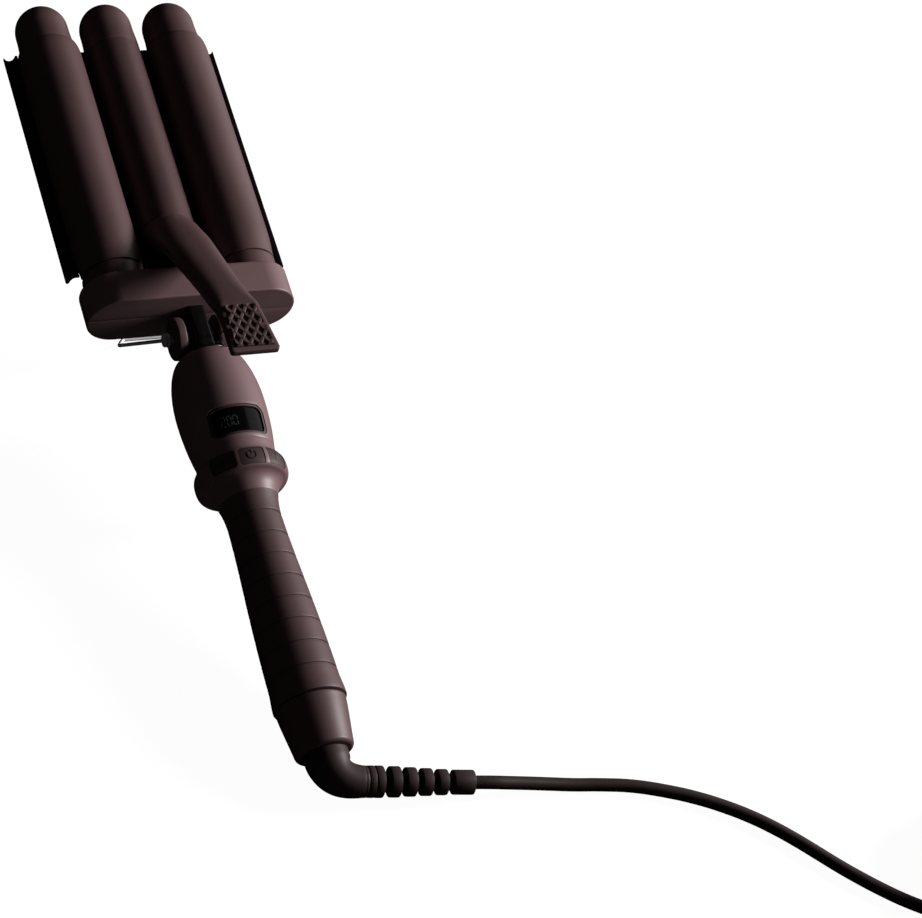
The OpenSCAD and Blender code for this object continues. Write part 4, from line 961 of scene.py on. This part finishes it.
def power_sign():
    """A ring with a gap at the top and a bar through the gap."""
    ring = line("sign", [(2.1 * math.sin(math.radians(a)), 2.1 * math.cos(math.radians(a)), 0)
                         for a in range(40, 321, 20)])
    bpy.ops.mesh.extrude_edges_move(TRANSFORM_OT_translate={"value": (0, 0, 0.5)})
    bpy.ops.object.mode_set(mode="OBJECT")
    modify(tidy(ring), "SOLIDIFY", thickness=0.5, offset=0)
    return joined("sign", [ring, box("sign_bar", (-0.25, 0.2, 0), (0.25, 2.7, 0.5))])


def arrow_sign(way):
    return drawn("sign", [(2.0 * way, 0, 0), (-1.2 * way, 2.0, 0), (-1.2 * way, -2.0, 0)], (0, 0, 0.5))


first_key = key("power_key")
left_key = around(copy_of(first_key, "left_key"), -BUTTON_ANGLE)
right_key = around(copy_of(first_key, "right_key"), BUTTON_ANGLE)
for name, piece, turn, sign in (("power", first_key, 0, power_sign()),
                                ("left", left_key, -BUTTON_ANGLE, arrow_sign(-1)),
                                ("right", right_key, BUTTON_ANGLE, arrow_sign(1))):
    done(piece, f"button_{name}", f"button_{name}", key_rubber, smooth=40)
    sign.name = f"{name}_key_sign"
    sign.location = (0, BUTTON_Y, 21.55)
    settle(sign)
    done(around(round_edges(sign, 0.06, 50, 2), turn), f"button_{name}", None, sign_dark)

# %% [markdown]
# ## Grip, flared ring and end cap
# The grip is one soft sleeve with eight grooves. They are drawn into its outline, each with two rounded lips,
# before the outline is spun.

# %% Grip
GRIP_FOOT = -188.7
plain = (bezier((14.1, GRIP_TOP - 0.05), (13.5, -96.9), (12.9, -99.9), (12.9, -104.9), 10)
         + bezier((12.9, -105.4), (13.2, -128.9), (15.6, -148.7), (16.3, GRIP_FOOT), 60))
GROOVES = [-104.4 - 11.642857 * i for i in range(8)]


def grip_r(y):
    for (r0, y0), (r1, y1) in zip(plain, plain[1:]):
        if y1 <= y <= y0:
            return r0 + (r1 - r0) * (y0 - y) / max(y0 - y1, 1e-6)
    return plain[-1][0]


grip_line = [p for p in plain if all(abs(p[1] - g) > 1.3 for g in GROOVES)]
for g in GROOVES:
    grip_line += [(grip_r(g + d) - drop, g + d) for d, drop in
                  ((1.2, 0), (0.7, 0.03), (0.45, 0.12), (0.32, 0.3), (0.26, 0.6), (-0.26, 0.6), (-0.32, 0.3),
                   (-0.45, 0.12), (-0.7, 0.03), (-1.2, 0))]
grip_line.sort(key=lambda p: -p[1])
grip = turned("grip_sleeve_soft", [(11.05, GRIP_TOP - 0.05)] + grip_line + [(11.05, GRIP_FOOT),
              (11.05, GRIP_TOP - 0.05)], steps=96)
done(grip, "handle", "grip_sleeve", soft_grip, smooth=50)
flare = turned("flare_band", [(11.05, -188.72), (16.3, -188.72)]
               + bezier((16.32, -189.2), (16.5, -192.4), (16.9, -194.2), (17.0, -198.2), 8)
               + [(16.95, -198.5), (16.6, -198.7), (11.05, -198.7), (11.05, -188.72)])
done(flare, "handle", "flared_ring", brown_shell)
cap_end = turned("end_bell", [(11.05, -199.5), (15.8, -199.5), (16.1, -199.7), (16.2, -200.0)]
                 + bezier((16.1, -200.6), (15.5, -207.6), (14.4, -214), (13.62, -221), 10)
                 + arc(11.6, -221, 2, 0, -90, 8) + [(6.68, -223), (6.68, -220), (11.05, -220), (11.05, -199.5)])
done(cap_end, "handle", "end_cap", brown_shell)

# %% [markdown]
# ## Elbow and strain relief
# The lead leaves the handle through a moulded elbow that turns with the swivel. The elbow is a tapering tube
# along a curve. The strain relief is spun: two close ribs, four with gaps so that it bends, and an end collar.

# %% Elbow and strain relief
elbow_run = [(0, -223.2, 0)] + bezier((0, -223.8, 0), (0, -233.2, 0), (13 - 10 * math.cos(RELIEF_TURN),
                                      RELIEF_START.y + 10 * math.sin(RELIEF_TURN), 0), tuple(RELIEF_START), 24)
elbow_radii = [10.2] + [10.2 - 3.1 * max(0, i / 24 - 0.15) / 0.85 for i in range(25)]
elbow = wire("elbow_tube", elbow_run, 1, 16, radii=elbow_radii)
round_edges(elbow, 0.4, 60, 3)
done(elbow, "lead", "elbow_boot", boot_rubber, smooth=50)

CORE_R, RIB_PITCH = 3.8, 7.35
relief_line = [(0, 0), (7.05, 0), (7.1, 0.4), (7.1, 1.0), (6.9, 1.3), (6.5, 1.35), (6.5, 1.75), (6.9, 1.8)]
RIBS = [(1.8, 4.2, 7.1), (5.2, 3.6, 7.1), (11.9, 4.6, 6.9), (11.9 + RIB_PITCH, 4.6, 6.5),
        (11.9 + 2 * RIB_PITCH, 4.6, 6.15), (11.9 + 3 * RIB_PITCH, 4.5, 5.8), (11.9 + 4 * RIB_PITCH, 9.7, 5.55)]
for i, (low, long, r) in enumerate(RIBS):
    high = low + long if i else RIBS[1][0] - 0.4
    relief_line += [(r - 0.4, low), (r - 0.1, low + 0.12), (r, low + 0.45), (r, high - 0.45), (r - 0.1, high - 0.12),
                    (r - 0.4, high)]
    if i == 0:
        relief_line += [(6.3, high), (6.3, RIBS[1][0])]
    elif i < 6:
        relief_line += [(CORE_R + 0.3, high), (CORE_R, high + 0.3), (CORE_R, RIBS[i + 1][0] - 0.3),
                        (CORE_R + 0.3, RIBS[i + 1][0])]
relief_line += [(3.15, 51), (3.15, 40), (0, 40)]
relief = turned("lead_relief", relief_line, steps=64)
relief.rotation_euler = (0, 0, -math.pi / 2 - RELIEF_TURN)
relief.location = RELIEF_START
done(relief, "lead", "strain_relief", boot_rubber, smooth=40)

# %% [markdown]
# ## Tie and plug
# The spare lead is held by a tie, and ends in a flat two-pin plug. The tie is a band drawn as a closed loop
# round the bundle; the plug's body is drawn in plan, and its top and bottom are pressed in towards the lead.

# %% Tie and plug
ROW = Matrix.Scale(0.001, 4)
near, far = COIL_IN - CORD_R - 0.8, COIL_OUT + CORD_R + 0.6
low, high = 0.05, COIL_Z + (LAYERS - 1) * STEP + CORD_R + 0.3


def loop_section(grow):
    c = 1.6
    corners = [(near - grow, low, 180), (far + grow, low, 270), (far + grow, high + grow, 0),
               (near - grow, high + grow, 90)]
    run = []
    for (x, z, a0), (sx, sz) in zip(corners, ((1, 1), (-1, 1), (-1, -1), (1, -1))):
        run += [(px, 0, pz) for px, pz in arc(x + sx * c, z + sz * c, c, a0, a0 + 90, 5)]
    return run


tie_run = loop_section(0.4)
tie = line("lead_tie", tie_run + tie_run[:1])
bpy.ops.mesh.remove_doubles(threshold=0.01)
bpy.ops.transform.translate(value=(0, -3.8, 0))
bpy.ops.mesh.extrude_edges_move(TRANSFORM_OT_translate={"value": (0, 7.6, 0)})
bpy.ops.object.mode_set(mode="OBJECT")
tidy(tie)
modify(tie, "SOLIDIFY", thickness=0.7, offset=0)
round_edges(tie, 0.2, 50, 2)
tie.rotation_euler = (0, 0, HEADING + math.pi / 2)
tie.location = (COIL_C.x, COIL_C.y, 0)
done(tie, "lead", "coil_tie", black_gloss, matrix=ROW)

plug = drawn("plug_shell", [(0, -5.6, -6.9), (4, -5.7, -6.9), (9, -6.4, -6.9), (19, -15, -6.9),
                            (22, -16.8, -6.9), (26, -17.6, -6.9),
                            (35, -17.6, -6.9), (35, 17.6, -6.9), (26, 17.6, -6.9), (22, 16.8, -6.9), (19, 15, -6.9),
                            (9, 6.4, -6.9),
                            (4, 5.7, -6.9), (0, 5.6, -6.9)], (0, 0, 13.8))
side = drawn("plug_side", [(-1, -30, -4.5), (5, -30, -5.2), (14, -30, -6.9), (36, -30, -6.9), (36, -30, 6.9),
                           (14, -30, 6.9),
                           (5, -30, 5.2), (-1, -30, 4.5)], (0, 60, 0))
cut(plug, side, "INTERSECT")
round_edges(plug, 1.6, 30, 4)
plug.rotation_euler = (0, 0, math.pi / 2)
plug.location = PLUG
done(plug, "lead", "plug_body", boot_rubber, matrix=ROW, smooth=50)
pins = []
for s in (-1, 1):
    pin_piece = turned(f"plug_pin_{s}", [(0, 0), (2, 0), (2, 17.6), (1.9, 18.4), (1.4, 19.1), (0.8, 19.2),
                                             (0, 19.2)], steps=32)
    pin_piece.location = (PLUG.x + s * 9.4, PLUG.y + 34.9, PLUG.z)
    settle(pin_piece)
    pins.append(pin_piece)
plug_pair = done(joined("plug_pin_pair", pins), "lead", "plug_pins", bright_steel, matrix=ROW)

# %% [markdown]
# ## What stays as packed
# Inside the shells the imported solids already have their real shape, so they keep it and take their finishes.

# %% Inner parts
INNER = {bright_steel: ["block_screws", "housing_screws", "button_switches"],
         heater_alloy: ["left_heater", "right_heater", "middle_heater", "thermal_fuse"],
         black_gloss: ["wire_loom", "inner_tube", "brush_holder", "swivel_spindle"],
         module_grey: ["display_module"], board_green: ["control_board"], brass_ring: ["slip_rings"]}
for material, names in INNER.items():
    for name in names:
        nodes[name].data.materials.clear()
        nodes[name].data.materials.append(material)
print("inner parts:", sum(len(names) for names in INNER.values()))

# %% [markdown]
# ## Studio
# The tool lies on a plain white table. One broad lamp stands to the right, almost level with the table, so that
# every round form has a lit right side and a dark left side, as in the photograph. Five dark cards, which only
# reflections see, keep the dark sides dark.

# %% Floor, world and lamps
def seen_rays(tree):
    """1 for camera, glossy and transmission rays, 0 for the rays that light the tool."""
    rays = add(tree, "ShaderNodeLightPath", (-500, 100))
    total = rays.outputs["Is Camera Ray"]
    for x, name in ((-300, "Is Glossy Ray"), (-100, "Is Transmission Ray")):
        plus = add(tree, "ShaderNodeMath", (x, 100), operation="ADD", use_clamp=True)
        tree.links.new(total, plus.inputs[0])
        tree.links.new(rays.outputs[name], plus.inputs[1])
        total = plus.outputs["Value"]
    return total


let_go()
bpy.ops.mesh.primitive_plane_add(size=12, location=(0, 0, 0))
floor = bpy.context.active_object
floor.name = "table_top"
white = bpy.data.materials.new("table_white")
white.use_nodes = True
tree = white.node_tree
tree.nodes.clear()
output = add(tree, "ShaderNodeOutputMaterial", (600, 0))
total = add(tree, "ShaderNodeAddShader", (400, 0))
matt = add(tree, "ShaderNodeBsdfDiffuse", (100, -150))
matt.inputs["Color"].default_value = (0.12, 0.12, 0.12, 1)
glow = add(tree, "ShaderNodeEmission", (100, 100))
power = add(tree, "ShaderNodeMath", (0, 250), operation="MULTIPLY")
power.inputs[1].default_value = 0.97
tree.links.new(seen_rays(tree), power.inputs[0])
tree.links.new(power.outputs["Value"], glow.inputs["Strength"])
tree.links.new(matt.outputs["BSDF"], total.inputs[0])
tree.links.new(glow.outputs["Emission"], total.inputs[1])
tree.links.new(total.outputs["Shader"], output.inputs["Surface"])
floor.data.materials.append(white)

dark = bpy.data.materials.new("card_black")
dark.use_nodes = True
dark.node_tree.nodes["Principled BSDF"].inputs["Base Color"].default_value = (0.002, 0.002, 0.002, 1)
dark.node_tree.nodes["Principled BSDF"].inputs["Roughness"].default_value = 1.0
dark.node_tree.nodes["Principled BSDF"].inputs["Specular IOR Level"].default_value = 0.0
for name, place, turn, size in (("left", (-0.8, 0, 0.6), (0, 90, 0), (1.2, 2.6)),
                                ("over", (0.1, 0, 1.2), (0, 0, 0), (1.8, 2.6)),
                                ("far", (0.1, 1.3, 0.6), (90, 0, 0), (1.8, 1.2)),
                                ("near", (0.1, -1.3, 0.6), (90, 0, 0), (1.8, 1.2)),
                                ("low", (-0.22, 0, 0.0006), (0, 0, 0), (1.15, 2.6))):
    bpy.ops.mesh.primitive_plane_add(size=1, location=place, rotation=[math.radians(a) for a in turn])
    card = bpy.context.active_object
    card.name = f"dark_card_{name}"
    card.scale = (*size, 1)
    bpy.ops.object.transform_apply(location=True, rotation=True, scale=True)
    card.visible_camera = card.visible_diffuse = card.visible_transmission = card.visible_shadow = False
    card.data.materials.append(dark)

world = bpy.data.worlds.new("studio")
bpy.context.scene.world = world
world.use_nodes = True
tree = world.node_tree
tree.nodes.clear()
output = add(tree, "ShaderNodeOutputWorld", (600, 0))
sky = add(tree, "ShaderNodeBackground", (400, 0))
sky.inputs["Color"].default_value = (1, 1, 1, 1)
level = add(tree, "ShaderNodeMapRange", (150, 0))
level.inputs["To Min"].default_value = 0.03
level.inputs["To Max"].default_value = 1.0
tree.links.new(seen_rays(tree), level.inputs["Value"])
tree.links.new(level.outputs["Result"], sky.inputs["Strength"])
tree.links.new(sky.outputs["Background"], output.inputs["Surface"])


def lamp(name, place, aim, size, watts, tall=None):
    data = bpy.data.lights.new(name, "AREA")
    data.shape = "RECTANGLE"
    data.size, data.size_y = size, tall or size
    data.energy = watts
    lamp_object = bpy.data.objects.new(name, data)
    lamp_object.location = place
    lamp_object.rotation_euler = (Vector(aim) - Vector(place)).to_track_quat("-Z", "Y").to_euler()
    bpy.context.scene.collection.objects.link(lamp_object)
    return lamp_object


lamp("key", (1.62, -0.24, 0.68), (0, 0, 0.06), 0.4, 50, 0.5)
